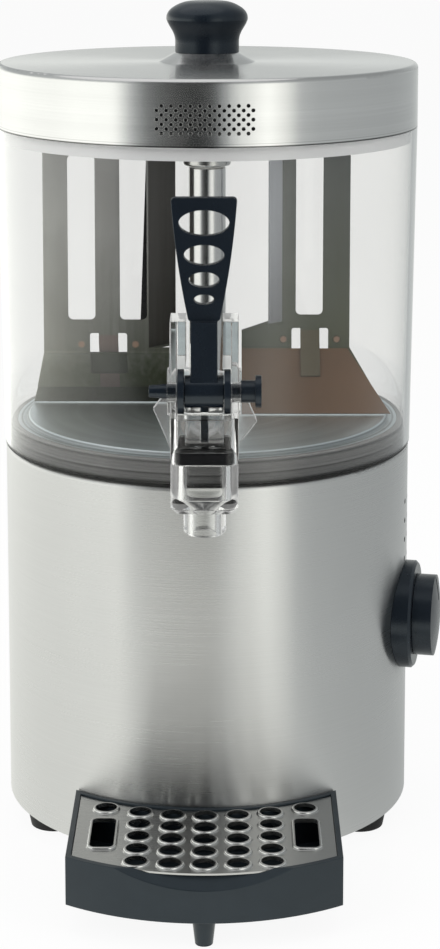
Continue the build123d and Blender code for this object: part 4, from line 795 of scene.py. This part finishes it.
class FormTree(NodeSheet):
    """A Geometry Nodes tree that sets one rim on each of a draft's points."""

    path_steps: int = 28
    corner_steps: int = 8
    bead_sides: int = 8

    def __init__(self, name: str, sizes: tuple[str, ...]) -> None:
        """Makes an empty tree with named sizes and a finish.

        Args:
            name: the tree's name.
            sizes: names of its sizes, in metres.
        """
        tree = bpy.data.node_groups.new(name, "GeometryNodeTree")
        super().__init__(tree)
        tree.interface.new_socket("Points", in_out="INPUT", socket_type="NodeSocketGeometry")
        self.keys = {label: self.named_input(label, "NodeSocketFloat") for label in sizes}
        self.keys["Finish"] = self.named_input("Finish", "NodeSocketMaterial")
        tree.interface.new_socket("Form", in_out="OUTPUT", socket_type="NodeSocketGeometry")
        self.given = self.add("NodeGroupInput")
        self.result = self.add("NodeGroupOutput")

    def named_input(self, label: str, kind: str) -> str:
        """Returns the identifier of a new input."""
        return self.tree.interface.new_socket(label, in_out="INPUT", socket_type=kind).identifier

    def size(self, label: str) -> Socket:
        """Returns the socket of a named size."""
        return self.given.outputs[label]

    def circle(self, steps: int, radius: str) -> Socket:
        """Returns a circle whose radius is a named size."""
        inputs = {"Resolution": steps, "Radius": self.size(radius)}
        return self.add("GeometryNodeCurvePrimitiveCircle", inputs).outputs[0]

    def bead_on_points(self, path: Socket) -> None:
        """Ends the tree with a bead along the path on each point, turned to its facing, as one dressed mesh."""
        inputs = {"Curve": path, "Profile Curve": self.circle(self.bead_sides, "Bead Radius")}
        form = self.add("GeometryNodeCurveToMesh", inputs).outputs[0]
        facing = self.add("GeometryNodeInputNamedAttribute", {"Name": "facing"}, data_type="FLOAT_VECTOR").outputs[0]
        turned = self.add("FunctionNodeAlignRotationToVector", {"Vector": facing}, axis="Z").outputs[0]
        inputs = {"Points": self.given.outputs["Points"], "Instance": form, "Rotation": turned}
        placed = self.add("GeometryNodeInstanceOnPoints", inputs).outputs[0]
        smooth = self.add("GeometryNodeSetShadeSmooth", {"Geometry": placed}).outputs[0]
        whole = self.add("GeometryNodeRealizeInstances", {"Geometry": smooth}).outputs[0]
        inputs = {"Geometry": whole, "Material": self.given.outputs["Finish"]}
        self.feed(self.result.inputs["Form"], self.add("GeometryNodeSetMaterial", inputs).outputs[0])

    def mesh(self, points: list[Point], facings: list[Point], slot: str, **sizes: float) -> Mesh:
        """Runs the tree.

        Args:
            points: where each form sits.
            facings: the direction that each form's axis takes.
            slot: the material slot of its finish.
            sizes: the tree's sizes by name, with spaces written as underscores.

        Returns:
            All the forms as one plain mesh whose faces point outwards.
        """
        draft_mesh = bpy.data.meshes.new("draft_points")
        draft_mesh.from_pydata(points, [], [])
        facing = draft_mesh.attributes.new("facing", "FLOAT_VECTOR", "POINT")
        for entry, direction in zip(facing.data, facings):
            entry.vector = direction
        draft = linked("draft_points", draft_mesh)
        modifier = draft.modifiers.new("form", "NODES")
        modifier.node_group = self.tree
        for label, size in sizes.items():
            modifier[self.keys[label.replace("_", " ")]] = size
        modifier[self.keys["Finish"]] = MATERIALS[slot]
        mesh = evaluated_mesh(draft)
        skin = bmesh.new()
        skin.from_mesh(mesh)
        bmesh.ops.recalc_face_normals(skin, faces=skin.faces)
        return written(skin, mesh)


def rolled_rim_tree() -> FormTree:
    """Returns the tree of round rims."""
    tree = FormTree("rolled_rims", ("Rim Radius", "Bead Radius"))
    tree.bead_on_points(tree.circle(tree.path_steps, "Rim Radius"))
    return tree


def slot_rim_tree() -> FormTree:
    """Returns the tree of rims round long slots with rounded corners."""
    tree = FormTree("slot_rims", ("Slot Width", "Slot Length", "Corner Radius", "Bead Radius"))
    inputs = {"Width": tree.size("Slot Width"), "Height": tree.size("Slot Length")}
    outline = tree.add("GeometryNodeCurvePrimitiveQuadrilateral", inputs).outputs[0]
    inputs = {"Curve": outline, "Radius": tree.size("Corner Radius"), "Count": tree.corner_steps}
    tree.bead_on_points(tree.add("GeometryNodeFilletCurve", inputs, mode="POLY").outputs[0])
    return tree


ROLLED_RIMS = rolled_rim_tree()
SLOT_RIMS = slot_rim_tree()


def round_place(radius: float, turn: float, height: float) -> Point:
    """Returns a point at a radius from the body axis, turned in degrees from the front towards the right."""
    angle = math.radians(turn)
    return (radius * math.sin(angle), -radius * math.cos(angle), height)


def curved_row(radius: float, count: int, pitch: float, height: float) -> list[Point]:
    """Returns a row of points evenly spaced in X, on the front of a circle round the body axis."""
    places = [(step - (count - 1) / 2) * pitch for step in range(count)]
    return [(x, -math.sqrt(radius ** 2 - x ** 2), height) for x in places]


@dataclass
class BodyShell:
    """Rolled steel body with its vents, seam, base plate, feet and mains inlet."""

    radius: float = 0.120
    vent_radius: float = 0.00165
    vent_top: float = 0.1923
    vent_pitch: float = 0.0116
    vent_rows: int = 4
    vent_turns: tuple[float, ...] = (77.0, 83.0, 89.0, 95.0, 101.0)
    vent_shade_bead: float = 0.0004
    seam_width: float = 0.0016
    seam_height: float = 0.00030
    seam_ends: Pair = (0.0140, 0.2205)
    seam_sides: int = 8

    def build(self) -> None:
        """Dresses the body's nodes and adds dark rims of painted shade inside the vents, and the rear seam."""
        dressed(("body_shell", "base_plate", "foot_screws", "cable_gland", "gland_nut", "terminal_block", "tray_pegs"))
        dressed(("foot_front_left", "foot_front_right", "foot_rear_left", "foot_rear_right"))
        heights = [self.vent_top - self.vent_pitch * row for row in range(self.vent_rows)]
        spots = [(turn, height) for turn in self.vent_turns for height in heights]
        # dark rims of painted shade in the vent holes, where the inside of the body falls in shadow
        points = [round_place(self.radius - self.vent_shade_bead, turn, height) for turn, height in spots]
        facings = [round_place(1.0, turn, 0.0) for turn, _ in spots]
        sizes = {"Rim_Radius": self.vent_radius, "Bead_Radius": self.vent_shade_bead}
        finished(ROLLED_RIMS.mesh(points, facings, "valve_rubber", **sizes), "vent_shade_rims", "base")
        finished(self.seam(), "rear_seam", "base")

    def seam(self) -> Mesh:
        """Returns the low welded bead up the rear of the body."""
        angles = [2 * math.pi * side / self.seam_sides for side in range(self.seam_sides)]
        section = [
            (self.seam_width / 2 * math.cos(angle), self.radius + self.seam_height * math.sin(angle))
            for angle in angles
        ]
        rings = [[(across, out, height) for across, out in section] for height in self.seam_ends]
        return closed_strip("rear_seam", "body_steel", rings, smooth=True)


@dataclass
class FloorAndSeal:
    """Steel floor of the tank with its standpipe, bushes and the grey seal round it."""

    pipe: BrushedMetal = BrushedMetal("polished_standpipe_steel", (0.74, 0.74, 0.745), roughness=0.17, marks=0.02)
    seal_edge: float = 0.00015
    wall_reach: float = 0.1165
    wall_gap: float = 0.00025

    def build(self) -> None:
        """Dresses the floor's nodes and keeps the seal a hair inside the clear wall."""
        dressed(("tank_floor", "top_bush", "lower_bush"))
        dressed(("central_tube",), self.pipe.material())
        for vertex in eased("tank_seal", self.seal_edge).data.vertices:
            radius = vertex.co.xy.length
            if radius > self.wall_reach:
                vertex.co.xy *= (radius - self.wall_gap) / radius


@dataclass
class Stirrer:
    """Wings, scrapers and cross arm on the drive shaft."""

    edge: float = 0.0003
    # The wings' and scrapers' colours are partly drink staining and partly painted shade, darker lower down and nearer
    # to the shaft.
    left_wing: StainShadedWing = StainShadedWing(
        "stained_shaded_left_wing", outer_top=(0.50, 0.50, 0.48), outer_low=(0.205, 0.205, 0.160),
        inner_top=(0.40, 0.395, 0.385), inner_low=(0.045, 0.050, 0.028), near=0.064, plough_painted_light=1.6,
        # the left fold's dark colours are partly staining and partly painted shade
        fold_top=(0.12, 0.116, 0.112), fold_low=(0.022, 0.019, 0.012), fold_edge=0.0346,
        tongue=(0.13, 0.095, 0.082), tongue_mid=-0.0585,
    )
    right_wing: StainShadedWing = StainShadedWing(
        "stained_shaded_right_wing", outer_top=(0.135, 0.142, 0.132), outer_low=(0.105, 0.107, 0.058),
        # the right fold's pale bluish colours are a painted reflection
        inner_top=(0.26, 0.275, 0.265), inner_low=(0.064, 0.074, 0.046), fold_top=(0.53, 0.55, 0.59),
        fold_low=(0.14, 0.142, 0.145), fold_edge=0.0447, fold_foot=0.294, tongue=(0.14, 0.12, 0.08), tongue_mid=0.0615,
    )
    left_scraper: StainShadedSheet = StainShadedSheet(
        "dark_left_scraper", (0.27, 0.27, 0.225), (0.25, 0.25, 0.20), (0.064, 0.072, 0.056), (0.048, 0.053, 0.034),
        near=0.066, far=0.098,
    )
    right_scraper: StainShadedSheet = StainShadedSheet(
        "brown_right_scraper", (0.225, 0.134, 0.077), (0.20, 0.118, 0.068), (0.20, 0.12, 0.073), (0.14, 0.088, 0.056),
    )

    def build(self) -> None:
        """Dresses the stirrer and rounds the edges of its sheets."""
        dressed(("drive_shaft", "output_shaft", "shaft_coupler", "stirrer_hub", "hub_nut", "stirrer_rivets"))
        eased("stirrer_arm", self.edge)
        for name in ("left_wing", "right_wing", "left_scraper", "right_scraper"):
            eased(name, self.edge, getattr(self, name).material())


@dataclass
class Tank:
    """Clear drafted tank wall."""

    def build(self) -> None:
        """Dresses the tank."""
        dressed(("tank",))


@dataclass
class Lid:
    """Spun lid with its locating ring, knob and perforated patch."""

    radius: float = 0.1236
    hole_radius: float = 0.0010
    row_middle: float = 0.4287
    row_pitch: float = 0.0025
    hole_pitch: float = 0.0052
    row_counts: tuple[int, ...] = (10, 11, 10, 11, 10, 11, 10)
    rim_bead: float = 0.00008
    # dark strip of painted shade behind the perforations
    shade_strip_radius: float = 0.1223
    shade_strip_thickness: float = 0.0004
    shade_strip_turn: float = 16.0
    shade_strip_ends: Pair = (0.4212, 0.4400)
    shade_strip_steps: int = 24

    def build(self) -> None:
        """Dresses the lid and adds the rims of its perforations and a dark strip of painted shade behind them."""
        dressed(("lid", "lid_ring", "lid_knob", "lid_screw"))
        points = self.hole_points()
        facings = [(x / self.radius, y / self.radius, 0.0) for x, y, _ in points]
        sizes = {"Rim_Radius": self.hole_radius + self.rim_bead, "Bead_Radius": self.rim_bead}
        rims = ROLLED_RIMS.mesh(points, facings, "lid_steel", **sizes)
        finished(rims, "perforation_rims", "lid")
        finished(self.shade_strip(), "lid_shade_strip", "lid")

    def hole_points(self) -> list[Point]:
        """Returns the middle of each perforation on the lid's outer face."""
        points = []
        for row, count in enumerate(self.row_counts):
            height = self.row_middle + (row - (len(self.row_counts) - 1) / 2) * self.row_pitch
            points += curved_row(self.radius, count, self.hole_pitch, height)
        return points

    def shade_strip(self) -> Mesh:
        """Returns the dark strip of painted shade that lies behind the perforations, where the lid's inside falls in
        shadow.
        """
        inner = self.shade_strip_radius - self.shade_strip_thickness
        low, high = self.shade_strip_ends
        corners = ((self.shade_strip_radius, low), (self.shade_strip_radius, high), (inner, high), (inner, low))
        rings = []
        for step in range(self.shade_strip_steps + 1):
            turn = self.shade_strip_turn * (2 * step / self.shade_strip_steps - 1)
            rings.append([round_place(radius, turn, height) for radius, height in corners])
        return closed_strip("lid_shade_strip", "valve_rubber", rings, smooth=False)


@dataclass
class Tap:
    """Clear lever tap on the front of the tank."""

    edge: float = 0.0003

    def build(self) -> None:
        """Dresses the tap and rounds the edges that show."""
        dressed(("tap_gasket", "inner_gasket", "tap_nut", "guide_ring", "piston_seal"))
        for name in ("tap_body", "tap_lever", "tap_piston", "piston_stem", "pivot_pin", "pivot_washers"):
            eased(name, self.edge)


@dataclass
class Control:
    """Temperature knob with its bezel, and the thermostat behind it."""

    def build(self) -> None:
        """Dresses the control."""
        dressed(("control_knob", "knob_spindle", "knob_bezel", "thermostat", "thermostat_nut"))


@dataclass
class DripTray:
    """Drip tray and its grid of raised lips."""

    plate: BrushedMetal = BrushedMetal("dull_grid_plate", (0.46, 0.46, 0.455), Grain.ACROSS, roughness=0.26, marks=0.08)
    edge: float = 0.0003
    body_radius: float = 0.120
    first_reach: float = 0.0124
    row_pitch: float = 0.0158
    column_pitch: float = 0.0181
    rows: int = 5
    columns: int = 5
    corner_hole: Pair = (0.0555, -0.1215)
    slot_middle: Pair = (0.0555, -0.1560)
    slot_size: Pair = (0.0130, 0.0380)
    slot_corner: float = 0.00325
    hole_radius: float = 0.0060
    bead: float = 0.00075
    lip_top: float = 0.0423

    @property
    def bead_height(self) -> float:
        """Returns the height of the rims' middle."""
        return self.lip_top - self.bead

    def build(self) -> None:
        """Rounds the tray and lays rolled rims on the grid's lips."""
        eased("drip_tray", self.edge)
        dressed(("drip_grid",), self.plate.material())
        points = self.hole_points()
        up = (0.0, 0.0, 1.0)
        sizes = {"Rim_Radius": self.hole_radius + self.bead, "Bead_Radius": self.bead}
        rims = ROLLED_RIMS.mesh(points, [up] * len(points), "grid_steel", **sizes)
        finished(rims, "grid_hole_rims", "drip_grid")
        points = [(side * self.slot_middle[0], self.slot_middle[1], self.bead_height) for side in (-1, 1)]
        sizes = {"Slot_Width": self.slot_size[0] + 2 * self.bead, "Slot_Length": self.slot_size[1] + 2 * self.bead}
        sizes |= {"Corner_Radius": self.slot_corner + self.bead, "Bead_Radius": self.bead}
        rims = SLOT_RIMS.mesh(points, [up] * len(points), "grid_steel", **sizes)
        finished(rims, "grid_slot_rims", "drip_grid")

    def hole_points(self) -> list[Point]:
        """Returns the middle of each round hole's rim, in rows that follow the body."""
        points = [(side * self.corner_hole[0], self.corner_hole[1], self.bead_height) for side in (-1, 1)]
        for row in range(self.rows):
            row_radius = self.body_radius + self.first_reach + self.row_pitch * row
            points += curved_row(row_radius, self.columns, self.column_pitch, self.bead_height)
        return points


@dataclass
class Drive:
    """Heating and geared motor inside the body."""

    def build(self) -> None:
        """Dresses the pieces inside the body."""
        dressed(("heater_plate", "heater_nuts", "heating_element", "limit_thermostat"))
        dressed(("motor_bridge", "gearbox", "motor", "motor_screws"))


@dataclass(frozen=True)
class Softbox:
    """Square soft lamp that the steel doesn't mirror."""

    name: str
    place: Point
    power: float
    size: float

    def hang(self, aim: Point) -> None:
        """Hangs the lamp in its place, turned towards the aim."""
        lamp = bpy.data.lights.new(self.name, "AREA")
        lamp.energy = self.power
        lamp.size = self.size
        stand = linked(self.name, lamp)
        stand.location = self.place
        stand.rotation_euler = (Vector(aim) - Vector(self.place)).to_track_quat("-Z", "Y").to_euler()
        stand.visible_glossy = False
        stand.visible_camera = False


@dataclass
class Studio:
    """White floor, soft light and the camera of the photograph."""

    camera_place: Point = (0.01344, -1.36100, 0.56046)
    camera_tilt: float = 7.7959
    camera_turn: float = -0.2473
    lens: float = 88.08
    shift_y: float = -0.30
    world_light: float = 0.55
    lamps: tuple[Softbox, ...] = (
        Softbox("left_softbox", (-1.5, -1.2, 1.5), power=22.0, size=1.4),
        Softbox("right_softbox", (1.4, -0.9, 1.1), power=9.0, size=0.9),
        Softbox("top_softbox", (0.0, 0.2, 2.0), power=12.0, size=1.6),
    )
    lamp_aim: Point = (0.0, 0.0, 0.25)
    floor_reach: float = 30.0
    floor_tones: Pair = (0.86, 0.90)
    floor_grain: float = 40.0
    floor_roughness: float = 0.8
    floor_glow: float = 0.92
    wall_middle: float = -0.38
    wall_radius: float = 0.92
    wall_height: float = 1.6
    wall_segments: int = 96
    card_height: float = 0.001
    card_join: Pair = (0.002, 0.030)
    high_join: Pair = (0.50, 0.72)
    warm_from: float = 0.5
    warm_over: float = 0.6
    cool_red: float = 0.955
    warm_red: float = 0.035
    warm_blue: float = -0.05
    # brightness of the wall by the angle from the front, in degrees towards the right
    panels: Panels = (
        (-180, 0.82), (-160, 0.95), (-140, 1.4), (-120, 1.55), (-100, 1.5), (-85, 1.5), (-70, 1.6), (-47, 1.6),
        (-37.5, 0.6), (-30, 0.22), (-22, 0.11), (-13, 0.05), (-4, 0.04), (4, 0.10), (9.5, 0.45), (15, 0.95), (24, 1.35),
        (30, 1.6), (39, 1.2), (46, 0.65), (56, 0.56), (75, 0.53), (107, 0.50), (134, 0.53), (150, 0.60),
        (165, 0.76), (180, 0.82),
    )
    card_panels: Panels = (
        (-180, 0.95), (-140, 1.05), (-60, 1.05), (-40, 1.1), (-22, 1.3), (5, 1.3), (15, 1.15), (30, 1.0), (42, 0.85),
        (56, 0.72), (80, 0.66), (110, 0.64), (140, 0.67), (165, 0.85), (180, 0.95),
    )
    high_panels: Panels = (
        (-180, 0.60), (-140, 0.54), (-70, 0.66), (-45, 0.66), (-32, 0.2), (-15, 0.08), (5, 0.08), (14, 0.4), (30, 0.6),
        (60, 0.42), (130, 0.36), (150, 0.46), (165, 0.55), (180, 0.60),
    )

    def build(self) -> None:
        """Makes the camera, the lights, the world, the floor and the reflector wall."""
        self.make_camera()
        self.make_world()
        for lamp in self.lamps:
            lamp.hang(self.lamp_aim)
        self.make_floor()
        self.make_wall()

    def make_camera(self) -> None:
        """Stands the camera where the photograph was taken."""
        camera = bpy.data.cameras.new("photograph")
        camera.lens = self.lens
        camera.shift_y = self.shift_y
        stand = linked("photograph", camera)
        stand.location = self.camera_place
        stand.rotation_euler = Euler((math.radians(90.0 - self.camera_tilt), 0.0, -math.radians(self.camera_turn)))
        bpy.context.scene.camera = stand

    def seen_directly(self, sheet: NodeSheet) -> Socket:
        """Returns one for camera, glossy and transmission rays and zero for the others."""
        rays = sheet.add("ShaderNodeLightPath").outputs
        either = sheet.math("MAXIMUM", rays["Is Camera Ray"], rays["Is Glossy Ray"])
        return sheet.math("MAXIMUM", either, rays["Is Transmission Ray"])

    def make_world(self) -> None:
        """Makes the world white to look at and a little weaker as a lamp."""
        world = bpy.data.worlds.new("studio")
        world.use_nodes = True
        sheet = NodeSheet(world.node_tree)
        strength = sheet.remap(self.seen_directly(sheet), (0.0, 1.0), (self.world_light, 1.0))
        sheet.fill(world.node_tree.nodes["Background"], {"Color": rgba(WHITE), "Strength": strength})
        bpy.context.scene.world = world

    def make_floor(self) -> Object:
        """Returns a wide white floor that keeps a soft shadow."""
        mesh = bpy.data.meshes.new("floor")
        far = self.floor_reach
        mesh.from_pydata([(-far, -far, 0.0), (far, -far, 0.0), (far, far, 0.0), (-far, far, 0.0)], [], [(0, 1, 2, 3)])
        material, sheet, shader = new_material("white_floor")
        grain = sheet.noise(sheet.place(), self.floor_grain)
        dark, light = (grey(tone) for tone in self.floor_tones)
        inputs = {"Base Color": sheet.mix(grain, dark, light), "Roughness": self.floor_roughness}
        sheet.fill(shader, inputs | {"Specular IOR Level": 0.0})
        glow = sheet.add("ShaderNodeEmission", {"Color": rgba(WHITE), "Strength": 1.0})
        share = sheet.math("MULTIPLY", self.seen_directly(sheet), self.floor_glow)
        surface = sheet.blend(share, shader.outputs[0], glow.outputs[0])
        sheet.fill(material.node_tree.nodes["Material Output"], {"Surface": surface})
        mesh.materials.append(material)
        return linked("floor", mesh)

    def panel_tint(self, light: float) -> Colour:
        """Returns a panel's colour: bright ones a little warm, dark ones a little cool."""
        warmth = min(1.0, max(0.0, (light - self.warm_from) / self.warm_over))
        red = self.cool_red + self.warm_red * warmth
        return (light * red, light, light * (1.0 + self.warm_blue * warmth))

    def make_wall(self) -> Object:
        """Returns the round wall of bright and dark panels, with a card at its foot, that the steel reflects."""
        skin = bmesh.new()
        stand = Matrix.Translation((self.wall_middle, 0.0, self.card_height + self.wall_height / 2))
        bmesh.ops.create_cone(
            skin, cap_ends=False, segments=self.wall_segments, radius1=self.wall_radius,
            radius2=self.wall_radius, depth=self.wall_height, matrix=stand,
        )
        skin.faces.new([vert for vert in skin.verts if vert.co.z < self.wall_height / 2])
        mesh = written(skin, bpy.data.meshes.new("reflector_wall"))
        material, sheet, shader = new_material("reflector_panels")
        material.node_tree.nodes.remove(shader)
        x, y, z = sheet.parts(sheet.place())
        turn = sheet.math("ARCTAN2", x, sheet.math("MULTIPLY", y, -1.0))
        share = sheet.math("ADD", sheet.math("DIVIDE", turn, 2 * math.pi), 0.5)
        card, middle, high = (
            sheet.ramp(share, [((angle + 180) / 360, self.panel_tint(light)) for angle, light in panels])
            for panels in (self.card_panels, self.panels, self.high_panels)
        )
        light = sheet.mix(sheet.remap(z, self.card_join), card, middle)
        light = sheet.mix(sheet.remap(z, self.high_join), light, high)
        glow = sheet.add("ShaderNodeEmission", {"Color": light, "Strength": 1.0})
        sheet.fill(material.node_tree.nodes["Material Output"], {"Surface": glow.outputs[0]})
        mesh.materials.append(material)
        wall = linked("reflector_wall", mesh)
        wall.visible_camera = False
        wall.visible_diffuse = False
        wall.visible_transmission = False
        wall.visible_shadow = False
        return wall


def main() -> None:
    """Builds the machine and its studio."""
    logging.basicConfig(level=logging.INFO, format="%(message)s")
    bpy.context.scene.view_settings.view_transform = "Standard"
    for assembly in (BodyShell(), FloorAndSeal(), Stirrer(), Tank(), Lid(), Tap(), Control(), DripTray(), Drive()):
        assembly.build()
    Studio().build()


if __name__ == "__main__":
    main()
